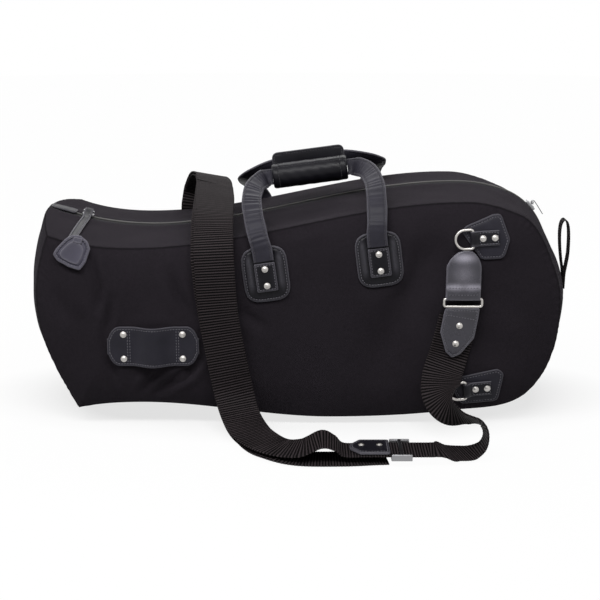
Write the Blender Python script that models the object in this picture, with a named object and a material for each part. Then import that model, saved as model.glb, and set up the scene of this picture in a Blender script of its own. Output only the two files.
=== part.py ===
"""Baritone horn gig bag: padded shell, zip, carry straps, rings and shoulder strap.

Metres, +Z up. X runs along the bag with the bell end at -X, the front panel faces -Y, and
the origin is on the floor under the bag, in the middle of the flat patch that it rests on.
"""

import math

import bmesh
import bpy
import numpy as np
from mathutils import Matrix, Vector

# Clearances
GAP = 0.0003
LEATHER_GAP = 0.0005
RUNNING_GAP = 0.0005

# Shell thicknesses and widths
PANEL_THICK = 0.002
PADDING_THICK = 0.008
GUSSET_THICK = 0.008
BELL_HALF_WIDTH = 0.143
LOBE_HALF_WIDTH = 0.136
PILLOW = 0.012
PILLOW_RUN = 0.050

# Crest of the gusset (its middle line), and how far the panel seam lies inside it.
# The throat is a concave arc under the bell flare, the shoulder a convex one.
THROAT_X, THROAT_Z = -0.198, 0.2405
FLARE_RADIUS = 0.400
FLARE_TURN, THROAT_TURN = 20.7, 4.0
LOBE_TOP_X, LOBE_TOP_Z = 0.215, 0.2985
SHOULDER_X, SHOULDER_Z = 0.2483, 0.2066
SHOULDER_RADIUS = 0.085
SHOULDER_START, SHOULDER_END = 22.0, 66.0
END_X, END_Z = 0.3545, 0.160
HEEL_X, HEEL_Z = 0.308, 0.030
BELLY_X, BELLY_Z = 0.200, 0.0023
BASE_X, BASE_SAG = 0.040, 0.006
UNDER_THROAT_X, UNDER_THROAT_Z = -0.205, 0.0225
RIM_FOOT_X, RIM_FOOT_Z = -0.300, 0.0035
CAP_X, CAP_Z = -0.361, 0.165
RIM_SEAM_STEP = 0.0256
RIM_FOOT_SEAM_STEP = 0.0238

# Middle line of the panels, which their rings close on
SPINE_LEFT_X, SPINE_LEFT_Z = -0.245, 0.135
SPINE_RIGHT_X, SPINE_RIGHT_Z = 0.185, 0.152

# Zip
TAPE_HALF = 0.012
TAPE_THICK = 0.0015
TAPE_SINK = 0.0008
COIL_HALF = 0.0033
COIL_RISE = 0.0012
SLIDER_LENGTH, SLIDER_WIDTH, SLIDER_PLATE, SLIDER_BACK = 0.0155, 0.0104, 0.0022, 0.0043
LEFT_SLIDER_TURN = 13.003
LEFT_SLIDER_X = THROAT_X - FLARE_RADIUS * math.sin(math.radians(LEFT_SLIDER_TURN))
RIGHT_SLIDER_TURN = 47.0
BAIL_BAR, BAIL_CLEAR, BAIL_WIDTH = 0.0020, 0.0004, 0.0020
END_TAB_START, END_TAB_ROWS, END_TAB_HALF, END_TAB_THICK = 0.25, 1.75, 0.011, 0.0018
FOB_TOP, FOB_BOTTOM, FOB_HEIGHT, FOB_THICK = 0.026, 0.037, 0.036, 0.004
FOB_STRAP_WIDTH, FOB_STRAP_THICK = 0.011, 0.0014
FOB_REACH = 0.0180
PULL_LENGTH, PULL_WIDTH, PULL_THICK = 0.021, 0.0040, 0.0012

# Leather patches, tabs and rivets
PATCH_THICK, PATCH_STEP = 0.002, 0.014
BACKING_THICK = 0.0006
TAB_THICK = 0.0022
RIVET_SHANK, RIVET_HEAD, RIVET_CROWN, RIVET_SIDES = 0.0017, 0.0044, 0.0020, 10
HANDLE_TILT = 7.5
HANDLE_SPAN = 0.1442
HANDLE_X, HANDLE_Z = 0.02635, 0.22765
HANDLE_PATCH_WIDTH, HANDLE_PATCH_HEIGHT = 0.058, 0.070
HANDLE_TAB_WIDTH, HANDLE_TAB_HEIGHT = 0.0265, 0.0365
HANDLE_RIVET_STEP = 0.0215
HANDLE_PATCH_RISE = 0.0030

# Carry straps and grip
STRAP_WIDTH, STRAP_THICK = 0.0254, 0.004
STRAP_ROOT = STRAP_THICK / 2 + 2 * GAP
GRIP_RADIUS, GRIP_LENGTH, GRIP_SHIFT = 0.0165, 0.099, -0.0015
GRIP_RISE, GRIP_Y = 0.0888, -0.030
FLAP_THICK, FLAP_TOP, FLAP_ROOT = 0.003, 0.1175, 0.086

# Side carry grip on the bell part
CARRY_X, CARRY_Z = CAP_X + 0.174, 0.110
CARRY_LENGTH, CARRY_WIDTH, CARRY_THICK, CARRY_BOW = 0.117, 0.0515, 0.0025, 0.0110
CARRY_RIVET_X, CARRY_RIVET_Z = 0.0375, 0.0160
CARRY_FLAT = 0.0290

# Ring sets
WIRE = 0.00175
RING_HALF, RING_LEG, RING_BORE_GAP = 0.0120, 0.0100, 0.0006
RING_TAB_LENGTH, RING_TAB_HEIGHT = 0.0330, 0.0190
UPPER_RING_X, UPPER_RING_Z, UPPER_RING_TURN = 0.2165, 0.2485, 3.0
LOWER_RING_X, LOWER_RING_Z, LOWER_RING_TURN = 0.2130, 0.0520, 5.0
REAR_RING_X, REAR_RING_Z, REAR_RING_TURN = -0.149, 0.208, 90.0
REAR_RING_HALF, REAR_RING_DEEP = 0.0280, 0.0170
SLEEVE_WALL = 0.0015

# Shoulder strap
WEB_WIDTH, WEB_THICK = 0.050, 0.0022
WEB_APEX_SPLIT = 0.0015
HANGER_WIDTH, HANGER_NECK, HANGER_THICK = 0.0440, 0.0120, 0.0040
HANGER_LENGTH, HANGER_SHOULDER = 0.0600, 0.0260
BUCKLE_HEIGHT, BUCKLE_WIDTH = 0.0100, 0.0480
POINT_LENGTH, POINT_SHOULDER, POINT_THICK = 0.0640, 0.0380, 0.0030
RUN_Y, RUN_Z = -0.272, 0.0125
KEEPER_X, KEEPER_LENGTH, KEEPER_WIDTH, KEEPER_THICK = 0.084, 0.048, 0.046, 0.003
FRAME_X, FRAME_LENGTH, FRAME_BAR, FRAME_SIDE, FRAME_TALL = 0.1215, 0.025, 0.0045, 0.0035, 0.008

# Finger loop
LOOP_Y, LOOP_WIDTH, LOOP_THICK = -0.021, 0.020, 0.0016

MATERIALS = {
    "body_cloth": ((0.021, 0.018, 0.022), 0.85, 0.0),
    "lining": ((0.030, 0.030, 0.032), 0.90, 0.0),
    "webbing": ((0.030, 0.027, 0.024), 0.75, 0.0),
    "leather": ((0.024, 0.023, 0.027), 0.35, 0.0),
    "grip_leather": ((0.018, 0.017, 0.020), 0.42, 0.0),
    "nickel": ((0.62, 0.60, 0.57), 0.28, 1.0),
    "zip_tape": ((0.016, 0.016, 0.018), 0.60, 0.0),
    "slider_metal": ((0.10, 0.10, 0.105), 0.35, 1.0),
}


def clear_scene():
    for thing in list(bpy.context.scene.objects):
        bpy.data.objects.remove(thing, do_unlink=True)


def material(name):
    found = bpy.data.materials.get(name)
    if found:
        return found
    colour, roughness, metallic = MATERIALS[name]
    made = bpy.data.materials.new(name)
    made.use_nodes = True
    shader = made.node_tree.nodes["Principled BSDF"]
    shader.inputs["Base Color"].default_value = (*colour, 1.0)
    shader.inputs["Roughness"].default_value = roughness
    shader.inputs["Metallic"].default_value = metallic
    return made


def direction(degrees):
    """Unit vector in the XZ plane, measured from +X towards +Z."""
    return np.array([math.cos(math.radians(degrees)), math.sin(math.radians(degrees))])


def curve_between(start, end, start_heading, end_heading, steps):
    """Cubic from start to end with the given headings: a true arc where they allow one."""
    turn = math.radians((end_heading - start_heading + 180) % 360 - 180)
    chord = float(np.linalg.norm(end - start))
    if abs(turn) < 1e-6:
        handle = chord / 3
    else:
        handle = 4 / 3 * math.tan(turn / 4) / (2 * math.sin(turn / 2)) * chord
    a = start + handle * direction(start_heading)
    b = end - handle * direction(end_heading)
    t = (np.arange(steps) / steps)[:, None]
    return (1 - t) ** 3 * start + 3 * (1 - t) ** 2 * t * a + 3 * (1 - t) * t**2 * b + t**3 * end


def on_arc(x, z, radius, degrees):
    """Point of an arc about (x, z), degrees from the vertical towards +X."""
    angle = math.radians(degrees)
    return np.array([x + radius * math.sin(angle), z + radius * math.cos(angle)])


def outline_knots():
    """Knots of the crest, clockwise from the bell rim: name, point, heading that it leaves
    with, heading that it is reached with, bulge over the seam, seam direction, steps."""
    flare_z = THROAT_Z + FLARE_RADIUS
    rim = on_arc(THROAT_X, flare_z, -FLARE_RADIUS, FLARE_TURN)
    throat = on_arc(THROAT_X, flare_z, -FLARE_RADIUS, -THROAT_TURN)
    start = on_arc(SHOULDER_X, SHOULDER_Z, SHOULDER_RADIUS, SHOULDER_START)
    finish = on_arc(SHOULDER_X, SHOULDER_Z, SHOULDER_RADIUS, SHOULDER_END)
    point = lambda x, z: np.array([x, z])
    return [
        ("rim", rim, -FLARE_TURN, 70.0, RIM_SEAM_STEP, -38.0, 8),
        ("throat", throat, THROAT_TURN, THROAT_TURN, 0.0057, None, 9),
        ("lobe_top", point(LOBE_TOP_X, LOBE_TOP_Z), -1.0, -1.0, 0.0064, None, 3),
        ("shoulder_start", start, -SHOULDER_START, -SHOULDER_START, 0.0095, None, 6),
        ("shoulder_end", finish, -SHOULDER_END, -SHOULDER_END, 0.0150, None, 4),
        ("end", point(END_X, END_Z), -90.0, -90.0, 0.0210, None, 5),
        ("heel", point(HEEL_X, HEEL_Z), -136.0, -136.0, 0.0180, None, 4),
        ("belly", point(BELLY_X, BELLY_Z), -173.0, -173.0, 0.0160, None, 4),
        ("base", point(BASE_X, -BASE_SAG), -180.0, -180.0, 0.0158, None, 7),
        ("under_throat", point(UNDER_THROAT_X, UNDER_THROAT_Z), -180.0, -180.0, 0.0080, None, 4),
        ("rim_foot", point(RIM_FOOT_X, RIM_FOOT_Z), 119.0, -168.0, RIM_FOOT_SEAM_STEP, 57.0, 4),
        ("cap", point(CAP_X, CAP_Z), 91.0, 91.0, 0.0250, None, 4),
    ]


def outline():
    """Crest and seam as closed rows of points, and the row number of each knot."""
    knots = outline_knots()
    crest, seam, at = [], [], {}
    for n, knot in enumerate(knots):
        follower = knots[(n + 1) % len(knots)]
        ends = []
        for name, spot, leaves, _, bulge, inward, _ in (knot, follower):
            heading = leaves - 90 if inward is None else inward
            ends.append(spot + bulge * direction(heading))
        at[knot[0]] = sum(len(row) for row in crest)
        crest.append(curve_between(knot[1], follower[1], knot[2], follower[3], knot[6]))
        seam.append(curve_between(ends[0], ends[1], knot[2], follower[3], knot[6]))
    return np.concatenate(crest), np.concatenate(seam), at


CREST, SEAM, AT = outline()
COUNT = len(CREST)


def mitred_inwards(row):
    """For each point of a closed row, the inward step that moves its sides by one metre."""
    before = row - np.roll(row, 1, axis=0)
    after = np.roll(row, -1, axis=0) - row
    before /= np.linalg.norm(before, axis=1)[:, None]
    after /= np.linalg.norm(after, axis=1)[:, None]
    normals = [np.stack([side[:, 1], -side[:, 0]], axis=1) for side in (before, after)]
    mean = normals[0] + normals[1]
    mean /= np.linalg.norm(mean, axis=1)[:, None]
    return mean / (mean * normals[1]).sum(1)[:, None]


CREST_IN = mitred_inwards(CREST)
SEAM_IN = mitred_inwards(SEAM)
# At the bell rim the gussets meet on a face square to the rim's bulge, so that the rear
# half can lift off the cap when the bag opens.
RIM_IN = direction(outline_knots()[0][5])
GUSSET_CREST_IN = np.vstack([RIM_IN, CREST_IN[1:]])
GUSSET_SEAM_IN = np.vstack([RIM_IN, SEAM_IN[1:]])


def half_width(x):
    """Half the gusset's width, tapering from the bell to the lobe."""
    share = (x - CAP_X) / (END_X - CAP_X)
    return BELL_HALF_WIDTH + (LOBE_HALF_WIDTH - BELL_HALF_WIDTH) * share


def gusset_point(where, y, depth=0.0):
    """Point of the gusset at a row position, at y, depth under its outer face."""
    low = int(math.floor(where)) % COUNT
    share = where - math.floor(where)
    high = (low + 1) % COUNT
    rows = [row[low] * (1 - share) + row[high] * share for row in (SEAM, CREST, GUSSET_SEAM_IN, GUSSET_CREST_IN)]
    seam, crest, seam_in, crest_in = rows
    reach = min(1.0, abs(y) / half_width(seam[0])) ** 2
    x, z = crest + (seam - crest) * reach
    inward = crest_in + (seam_in - crest_in) * reach
    return Vector((x + inward[0] * depth, y, max(z, 0.0) + inward[1] * depth))


def seam_distance(x, z):
    """Distance from a point of the panel to its seam."""
    a, b = SEAM, np.roll(SEAM, -1, axis=0)
    point = np.array([x, z])
    along = b - a
    t = np.clip(((point - a) * along).sum(1) / (along * along).sum(1), 0, 1)
    return float(np.linalg.norm(a + t[:, None] * along - point, axis=1).min())


def pillow(distance):
    """How far the panel swells at a distance from its seam."""
    return PILLOW * (1 - (1 - min(distance, PILLOW_RUN) / PILLOW_RUN) ** 2)


def panel_y(x, z):
    """Distance of the panel's outer face from the middle plane."""
    return half_width(x) + pillow(seam_distance(x, z))


def add_mesh(name, vertices, faces, slot, smooth=30.0):
    """Adds one closed object, its faces turned outwards."""
    mesh = bpy.data.meshes.new(name)
    mesh.from_pydata([tuple(v) for v in vertices], [], faces)
    work = bmesh.new()
    work.from_mesh(mesh)
    bmesh.ops.recalc_face_normals(work, faces=work.faces)
    if work.calc_volume(signed=True) < 0:
        bmesh.ops.reverse_faces(work, faces=work.faces)
    work.to_mesh(mesh)
    work.free()
    mesh.shade_smooth()
    mesh.set_sharp_from_angle(angle=math.radians(smooth))
    mesh.materials.append(material(slot))
    made = bpy.data.objects.new(name, mesh)
    bpy.context.scene.collection.objects.link(made)
    return made


def add_loft(name, sections, slot, closed=False, smooth=30.0, ladder=False):
    """Solid through sections of equal length, each a closed loop of points. ladder fills
    its ends with a row of four-sided faces across the loop."""
    size = len(sections[0])
    vertices = [v for section in sections for v in section]
    faces = []
    spans = len(sections) if closed else len(sections) - 1
    for n in range(spans):
        a, b = n * size, (n + 1) % len(sections) * size
        for k in range(size):
            m = (k + 1) % size
            faces.append((a + k, a + m, b + m, b + k))
    last = len(vertices) - size
    if ladder:
        for k in range(size // 2 - 1):
            a, b, c, d = k, k + 1, size - 2 - k, size - 1 - k
            faces.append((a, b, c, d))
            faces.append((last + d, last + c, last + b, last + a))
    elif not closed:
        faces.append(tuple(range(size)))
        faces.append(tuple(reversed(range(last, last + size))))
    return add_mesh(name, vertices, faces, slot, smooth)


def set_origin(thing, point):
    """Moves an object's origin to a point, with its shape left where it is."""
    thing.data.transform(Matrix.Translation(-Vector(point)))
    thing.location = point


def add_band(name, start, end, across):
    """Strip of the gusset between two row positions; across gives a row's y values."""
    rows = [start] + list(range(math.ceil(start), math.floor(end) + 1)) + [end]
    rows = sorted({round(r, 6) for r in rows})
    sections = []
    for row in rows:
        x = SEAM[int(row) % COUNT][0]
        outer = [gusset_point(row, y) for y in across(x)]
        inner = [gusset_point(row, y, GUSSET_THICK) for y in across(x)]
        sections.append(outer + inner[::-1])
    return add_loft(name, sections, "body_cloth", ladder=True)


def spread(low, high, count):
    return [low + (high - low) * n / (count - 1) for n in range(count)]


def gusset_edge(x):
    """Where a gusset ends against the panel's inner face."""
    return half_width(x) - PANEL_THICK - GAP


def end_shift(row, step):
    """Row position a gap past a knot, in the direction of step."""
    here, there = CREST[row % COUNT], CREST[(row + step) % COUNT]
    return row + step * GAP / float(np.linalg.norm(there - here))


def build_gussets():
    """Bell cap, bottom gusset and the two strips beside the zip."""
    half = lambda x, side: spread(side * gusset_edge(x), side * TAPE_HALF, 5)
    full = lambda x: half(x, -1) + [0.0] + half(x, 1)[::-1]
    rim, foot, end = AT["rim"], AT["rim_foot"], AT["end"]
    add_band("bell_end_cap", end_shift(foot, 1), end_shift(COUNT, -1), full)
    add_band("bottom_gusset", end_shift(end, 1), end_shift(foot, -1), full)
    for name, side in (("top_gusset_front", -1), ("top_gusset_rear", 1)):
        add_band(name, end_shift(rim, 1), end_shift(end, -1), lambda x, s=side: half(x, s))


def panel_rings():
    """Rings of the panels in XZ, from the one that the padding ends at to the flat middle."""
    edge = SEAM + SEAM_IN * (GUSSET_THICK + 2 * GAP)
    left = np.array([SPINE_LEFT_X, SPINE_LEFT_Z])
    right = np.array([SPINE_RIGHT_X, SPINE_RIGHT_Z])
    along = np.clip((edge[:, 0] - left[0]) / (right[0] - left[0]), 0, 1)[:, None]
    middle = left + (right - left) * along
    return [edge + (middle - edge) * share for share in (0.0, 0.16, 0.36, 0.60)]


def ring_points(ring, side, depth):
    return [Vector((x, side * (panel_y(x, z) - depth), z)) for x, z in ring]


def add_rings(name, loops, slot):
    """Closed plate from loops of equal length; the first and the last are filled flat."""
    size = len(loops[0])
    vertices = [v for loop in loops for v in loop]
    faces = []
    for n in range(len(loops) - 1):
        for k in range(size):
            m = (k + 1) % size
            faces.append((n * size + k, n * size + m, (n + 1) * size + m, (n + 1) * size + k))
    faces.append(tuple(range(size)))
    faces.append(tuple(reversed(range(len(vertices) - size, len(vertices)))))
    return add_mesh(name, vertices, faces, slot)


def build_panels():
    """Front and rear panel with the padding behind each."""
    rings = panel_rings()
    for panel, padding, side in (("front_panel", "front_padding", -1), ("rear_panel", "rear_padding", 1)):
        edge = [Vector((x, side * half_width(x), z)) for x, z in SEAM]
        back = []
        for row in range(COUNT):
            y = half_width(SEAM[row][0]) - PANEL_THICK
            back.append(gusset_point(row, side * y))
        inside = [ring_points(ring, side, PANEL_THICK) for ring in rings]
        outside = [ring_points(ring, side, 0.0) for ring in rings]
        add_rings(panel, inside[::-1] + [back, edge] + outside, "body_cloth")
        near = PANEL_THICK + 2 * GAP
        outside = [ring_points(ring, side, near) for ring in rings]
        inside = [ring_points(ring, side, near + PADDING_THICK) for ring in rings]
        add_rings(padding, inside[::-1] + outside, "lining")


def build_zip():
    """The two halves of the zip chain: tape with its coil, and the cover on its left end."""
    for name, side in (("zip_chain_front", -1), ("zip_chain_rear", 1)):
        profile = [
            (TAPE_HALF - GAP, TAPE_SINK),
            (COIL_HALF, TAPE_SINK),
            (COIL_HALF, -COIL_RISE),
            (GAP / 2, -COIL_RISE),
            (GAP / 2, TAPE_SINK + TAPE_THICK),
            (TAPE_HALF - GAP, TAPE_SINK + TAPE_THICK),
        ]
        rows = [end_shift(0, 1)] + list(range(1, AT["end"])) + [end_shift(AT["end"], -1)]
        sections = [[gusset_point(r, side * y, depth) for y, depth in profile] for r in rows]
        add_loft(name, sections, "zip_tape")
    rise = -COIL_RISE - GAP
    rows = [END_TAB_START, 1, END_TAB_ROWS]
    profile = [(-END_TAB_HALF, rise), (END_TAB_HALF, rise)]
    profile += [(END_TAB_HALF, rise - END_TAB_THICK), (-END_TAB_HALF, rise - END_TAB_THICK)]
    sections = [[gusset_point(r, y, depth) for y, depth in profile] for r in rows]
    add_loft("zip_end_tab", sections, "leather")


class Seat:
    """Flat seat with its own axes: u along it, v up it and n out of it."""

    def __init__(self, origin, u, v, n):
        self.origin, self.u, self.v, self.n = Vector(origin), Vector(u), Vector(v), Vector(n)

    def at(self, u, v, n):
        return self.origin + self.u * u + self.v * v + self.n * n


def panel_seat(side, x, z, turn=0.0):
    """Seat that touches a panel's swell at (x, z), turned about its normal."""
    step = 0.002
    slope_x = (panel_y(x + step, z) - panel_y(x - step, z)) / (2 * step)
    slope_z = (panel_y(x, z + step) - panel_y(x, z - step)) / (2 * step)
    normal = Vector((-slope_x, side, -slope_z)).normalized()
    up = (Vector((0, 0, 1)) - normal * normal.z).normalized()
    across = Vector((1, 0, 0)) - normal * normal.x
    across = (across - up * across.dot(up)).normalized()
    angle = math.radians(turn)
    u = across * math.cos(angle) + up * math.sin(angle)
    v = up * math.cos(angle) - across * math.sin(angle)
    return Seat((x, side * panel_y(x, z), z), u, v, normal)


def round_corners(corners, radius, steps=2):
    """Polygon with each corner rounded by an arc, given as points of the plane."""
    points = []
    count = len(corners)
    for n in range(count):
        before, here, after = (Vector(corners[(n + k) % count]) for k in (-1, 0, 1))
        a, b = (before - here).normalized(), (after - here).normalized()
        half = a.angle(b) / 2
        reach = min(radius / math.tan(half), 0.45 * (before - here).length, 0.45 * (after - here).length)
        first, last = here + a * reach, here + b * reach
        for k in range(steps + 1):
            t = k / steps
            points.append(tuple(first * (1 - t) ** 2 + here * 2 * t * (1 - t) + last * t**2))
    return points


def box_corners(width, height):
    return [
        (-width / 2, -height / 2),
        (width / 2, -height / 2),
        (width / 2, height / 2),
        (-width / 2, height / 2),
    ]


def add_plate(name, seat, points, low, high, slot):
    """Plate over a polygon of the seat's plane, between two heights."""
    sections = [[seat.at(u, v, n) for u, v in points] for n in (low, high)]
    return add_loft(name, sections, slot)


def add_patch(name, seat, points):
    """Leather patch that follows the panel, over a polygon of the seat's plane."""
    points = [np.array(p) for p in points]
    dense = []
    for here, there in zip(points, points[1:] + points[:1]):
        pieces = max(1, math.ceil(np.linalg.norm(there - here) / PATCH_STEP))
        dense += [here + (there - here) * k / pieces for k in range(pieces)]
    points = dense
    centre = np.mean(points, axis=0)
    rings = []
    for share in (1.0, 0.5):
        spots = [seat.at(*(centre + (p - centre) * share), 0) for p in points]
        rings.append([(spot.x, spot.z) for spot in spots])
    side = math.copysign(1, seat.origin.y)
    lower = [ring_points(ring, side, -PATCH_LOW) for ring in rings]
    upper = [ring_points(ring, side, -PATCH_HIGH) for ring in rings]
    return add_rings(name, lower[::-1] + upper, "leather")


def circle(radius, count, u=0.0, v=0.0):
    turns = [2 * math.pi * k / count for k in range(count)]
    return [(u + radius * math.cos(t), v + radius * math.sin(t)) for t in turns]


def drill(thing, seat, spots, radius, low, high):
    """Cuts round holes through an object, square to the seat."""
    vertices, faces = [], []
    for u, v in spots:
        ring = circle(radius, 12, u, v)
        base = len(vertices)
        vertices += [seat.at(a, b, low) for a, b in ring] + [seat.at(a, b, high) for a, b in ring]
        for k in range(12):
            m = (k + 1) % 12
            faces.append((base + k, base + m, base + 12 + m, base + 12 + k))
        faces.append(tuple(range(base, base + 12)))
        faces.append(tuple(reversed(range(base + 12, base + 24))))
    cutter = add_mesh(thing.name + "_holes", vertices, faces, "nickel")
    cutter.hide_render = True
    cutter.display_type = "WIRE"
    cut = thing.modifiers.new("holes", "BOOLEAN")
    cut.operation = "DIFFERENCE"
    cut.solver = "EXACT"
    cut.object = cutter


def add_rivets(name, seat, spots, low, through):
    """Rivets on one backing plate: the plate starts at low, the heads sit on through."""
    top = low + BACKING_THICK
    margin = 2.2 * RIVET_SHANK
    us, vs = [s[0] for s in spots], [s[1] for s in spots]
    centre = ((min(us) + max(us)) / 2, (min(vs) + max(vs)) / 2)
    size = (max(us) - min(us) + 2 * margin, max(vs) - min(vs) + 2 * margin)
    corners = [(u + centre[0], v + centre[1]) for u, v in box_corners(*size)]
    vertices, faces, work = [], [], bmesh.new()
    outer = [work.verts.new(seat.at(u, v, top)) for u, v in corners]
    edges = [work.edges.new((outer[k], outer[(k + 1) % 4])) for k in range(4)]
    rims = []
    for u, v in spots:
        ring = [work.verts.new(seat.at(a, b, top)) for a, b in circle(RIVET_SHANK, RIVET_SIDES, u, v)]
        edges += [work.edges.new((ring[k], ring[(k + 1) % RIVET_SIDES])) for k in range(RIVET_SIDES)]
        rims.append((ring, u, v))
    bmesh.ops.triangle_fill(work, edges=edges, use_beauty=True, use_dissolve=False)
    lower = [work.verts.new(seat.at(u, v, low)) for u, v in corners]
    work.faces.new(lower)
    for k in range(4):
        m = (k + 1) % 4
        work.faces.new((outer[k], outer[m], lower[m], lower[k]))
    head = through + LEATHER_GAP / 2
    levels = [
        (RIVET_SHANK, head),
        (RIVET_HEAD, head),
        (RIVET_HEAD, head + 0.35 * RIVET_CROWN),
        (0.60 * RIVET_HEAD, head + RIVET_CROWN),
    ]
    for ring, u, v in rims:
        for radius, height in levels:
            above = [work.verts.new(seat.at(a, b, height)) for a, b in circle(radius, RIVET_SIDES, u, v)]
            for k in range(RIVET_SIDES):
                m = (k + 1) % RIVET_SIDES
                work.faces.new((ring[k], ring[m], above[m], above[k]))
            ring = above
        work.faces.new(ring)
    work.verts.index_update()
    vertices = [v.co.copy() for v in work.verts]
    faces = [tuple(v.index for v in face.verts) for face in work.faces]
    work.free()
    return add_mesh(name, vertices, faces, "nickel")


PATCH_LOW = 0.0010
PATCH_HIGH = PATCH_LOW + PATCH_THICK
TAB_LOW = PATCH_HIGH + 2 * GAP + BACKING_THICK
TAB_HIGH = TAB_LOW + TAB_THICK


def add_riveted(prefix, seat, patch, tab, spots):
    """Patch on the panel, tab on the patch, and rivets through the tab."""
    rivets_low = PATCH_HIGH + GAP
    add_patch(prefix[0], seat, patch)
    leather = tab()
    drill(leather, seat, spots, RIVET_SHANK + GAP, TAB_LOW - 0.002, TAB_HIGH + 0.002)
    add_rivets(prefix[1], seat, spots, rivets_low, TAB_HIGH)


def handle_spot(side, along):
    """Seat for a carry strap's patch: along is -1 for the left one, 1 for the right."""
    tilt = math.radians(HANDLE_TILT)
    drop = HANDLE_TAB_HEIGHT / 2
    x = HANDLE_X + along * HANDLE_SPAN / 2 * math.cos(tilt) + drop * math.sin(tilt)
    z = HANDLE_Z + along * HANDLE_SPAN / 2 * math.sin(tilt) - drop * math.cos(tilt)
    return panel_seat(side, x, z, HANDLE_TILT)


def strap_pivot(side, along):
    """Where a carry strap bends: the upper edge of its tab, at the strap's mid-thickness."""
    seat = handle_spot(side, along)
    return seat.at(0, HANDLE_TAB_HEIGHT / 2 + STRAP_ROOT, TAB_LOW + STRAP_THICK / 2)


def build_handle_patches():
    """Patches, tabs and rivets of the front and the rear carry strap."""
    patch = round_corners(box_corners(HANDLE_PATCH_WIDTH, HANDLE_PATCH_HEIGHT), 0.014)
    patch = [(u, v + HANDLE_PATCH_RISE) for u, v in patch]
    tab = round_corners(box_corners(HANDLE_TAB_WIDTH, HANDLE_TAB_HEIGHT), 0.002, 1)
    spots = [(0, -HANDLE_RIVET_STEP / 2), (0, HANDLE_RIVET_STEP / 2)]
    for prefix, side in (("handle", -1), ("rear_handle", 1)):
        for end, along in (("left", -1), ("right", 1)):
            seat = handle_spot(side, along)
            name = f"{prefix}_tab_{end}"
            make = lambda n=name, s=seat: add_plate(n, s, tab, TAB_LOW, TAB_HIGH, "leather")
            names = (f"{prefix}_patch_{end}", f"{prefix}_rivets_{end}")
            add_riveted(names, seat, patch, make, spots)


def smooth_route(points, count):
    """Even points on a smooth curve through the given ones (Catmull-Rom)."""
    rows = np.array(points, float)
    padded = np.vstack([2 * rows[0] - rows[1], rows, 2 * rows[-1] - rows[-2]])
    fine = []
    for n in range(len(rows) - 1):
        a, b, c, d = padded[n : n + 4]
        for t in np.arange(12) / 12:
            fine.append(
                0.5 * (2 * b + (c - a) * t + (2 * a - 5 * b + 4 * c - d) * t**2 + (3 * b - a - 3 * c + d) * t**3)
            )
    fine = np.array(fine + [rows[-1]])
    gaps = np.linalg.norm(np.diff(fine[:, :3], axis=0), axis=1)
    along = np.concatenate([[0], np.cumsum(gaps)])
    at = np.linspace(0, along[-1], count)
    return np.stack([np.interp(at, along, fine[:, k]) for k in range(fine.shape[1])], axis=1)


def add_ribbon(name, rows, width, thick, slot, round_ends=(), finish=None):
    """Flat strip along rows of (x, y, z, width direction x, y, z). round_ends names the rows
    that end it with a half round, and finish the direction that its last section faces."""
    count = len(rows)
    sections = []
    for n, row in enumerate(rows):
        ahead = np.array(rows[min(n + 1, count - 1)][:3]) - np.array(rows[max(n - 1, 0)][:3])
        ahead = Vector(ahead).normalized()
        if finish is not None and n == count - 1:
            ahead = finish
        across = Vector(row[3:])
        across = (across - ahead * across.dot(ahead)).normalized()
        normal = ahead.cross(across)
        middle = Vector(row[:3])
        out = -1 if n == 0 else 1
        added = []
        for step, share in ((0.0, 1.0), (0.60, 0.80), (0.95, 0.31)):
            if step and n not in round_ends:
                continue
            spot = middle + ahead * (out * step * thick / 2)
            side, up = across * width / 2, normal * thick / 2 * share
            added.append([spot - side - up, spot + side - up, spot + side + up, spot - side + up])
        sections += added[::-1] if n == 0 else added
    return add_loft(name, sections, slot)


def handle_axes():
    """Origin, along, up of the carry straps' own frame, at a given side."""
    tilt = math.radians(HANDLE_TILT)
    along = Vector((math.cos(tilt), 0, math.sin(tilt)))
    up = Vector((-math.sin(tilt), 0, math.cos(tilt)))
    return Vector((HANDLE_X, 0, HANDLE_Z)), along, up


def handle_point(u, y, w):
    origin, along, up = handle_axes()
    return origin + along * u + up * w + Vector((0, y, 0))


def handle_vector(u, y, w):
    _, along, up = handle_axes()
    return along * u + up * w + Vector((0, y, 0))


def handle_route(route, along, side):
    """Route of one leg, in (u, y, w, width u, y, w) of the right front leg."""
    rows = []
    for u, y, w, a, b, c in route:
        point = handle_point(along * u, side * y, w)
        across = handle_vector(a, along * side * b, along * c)
        rows.append((*point, *across))
    return rows


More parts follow.
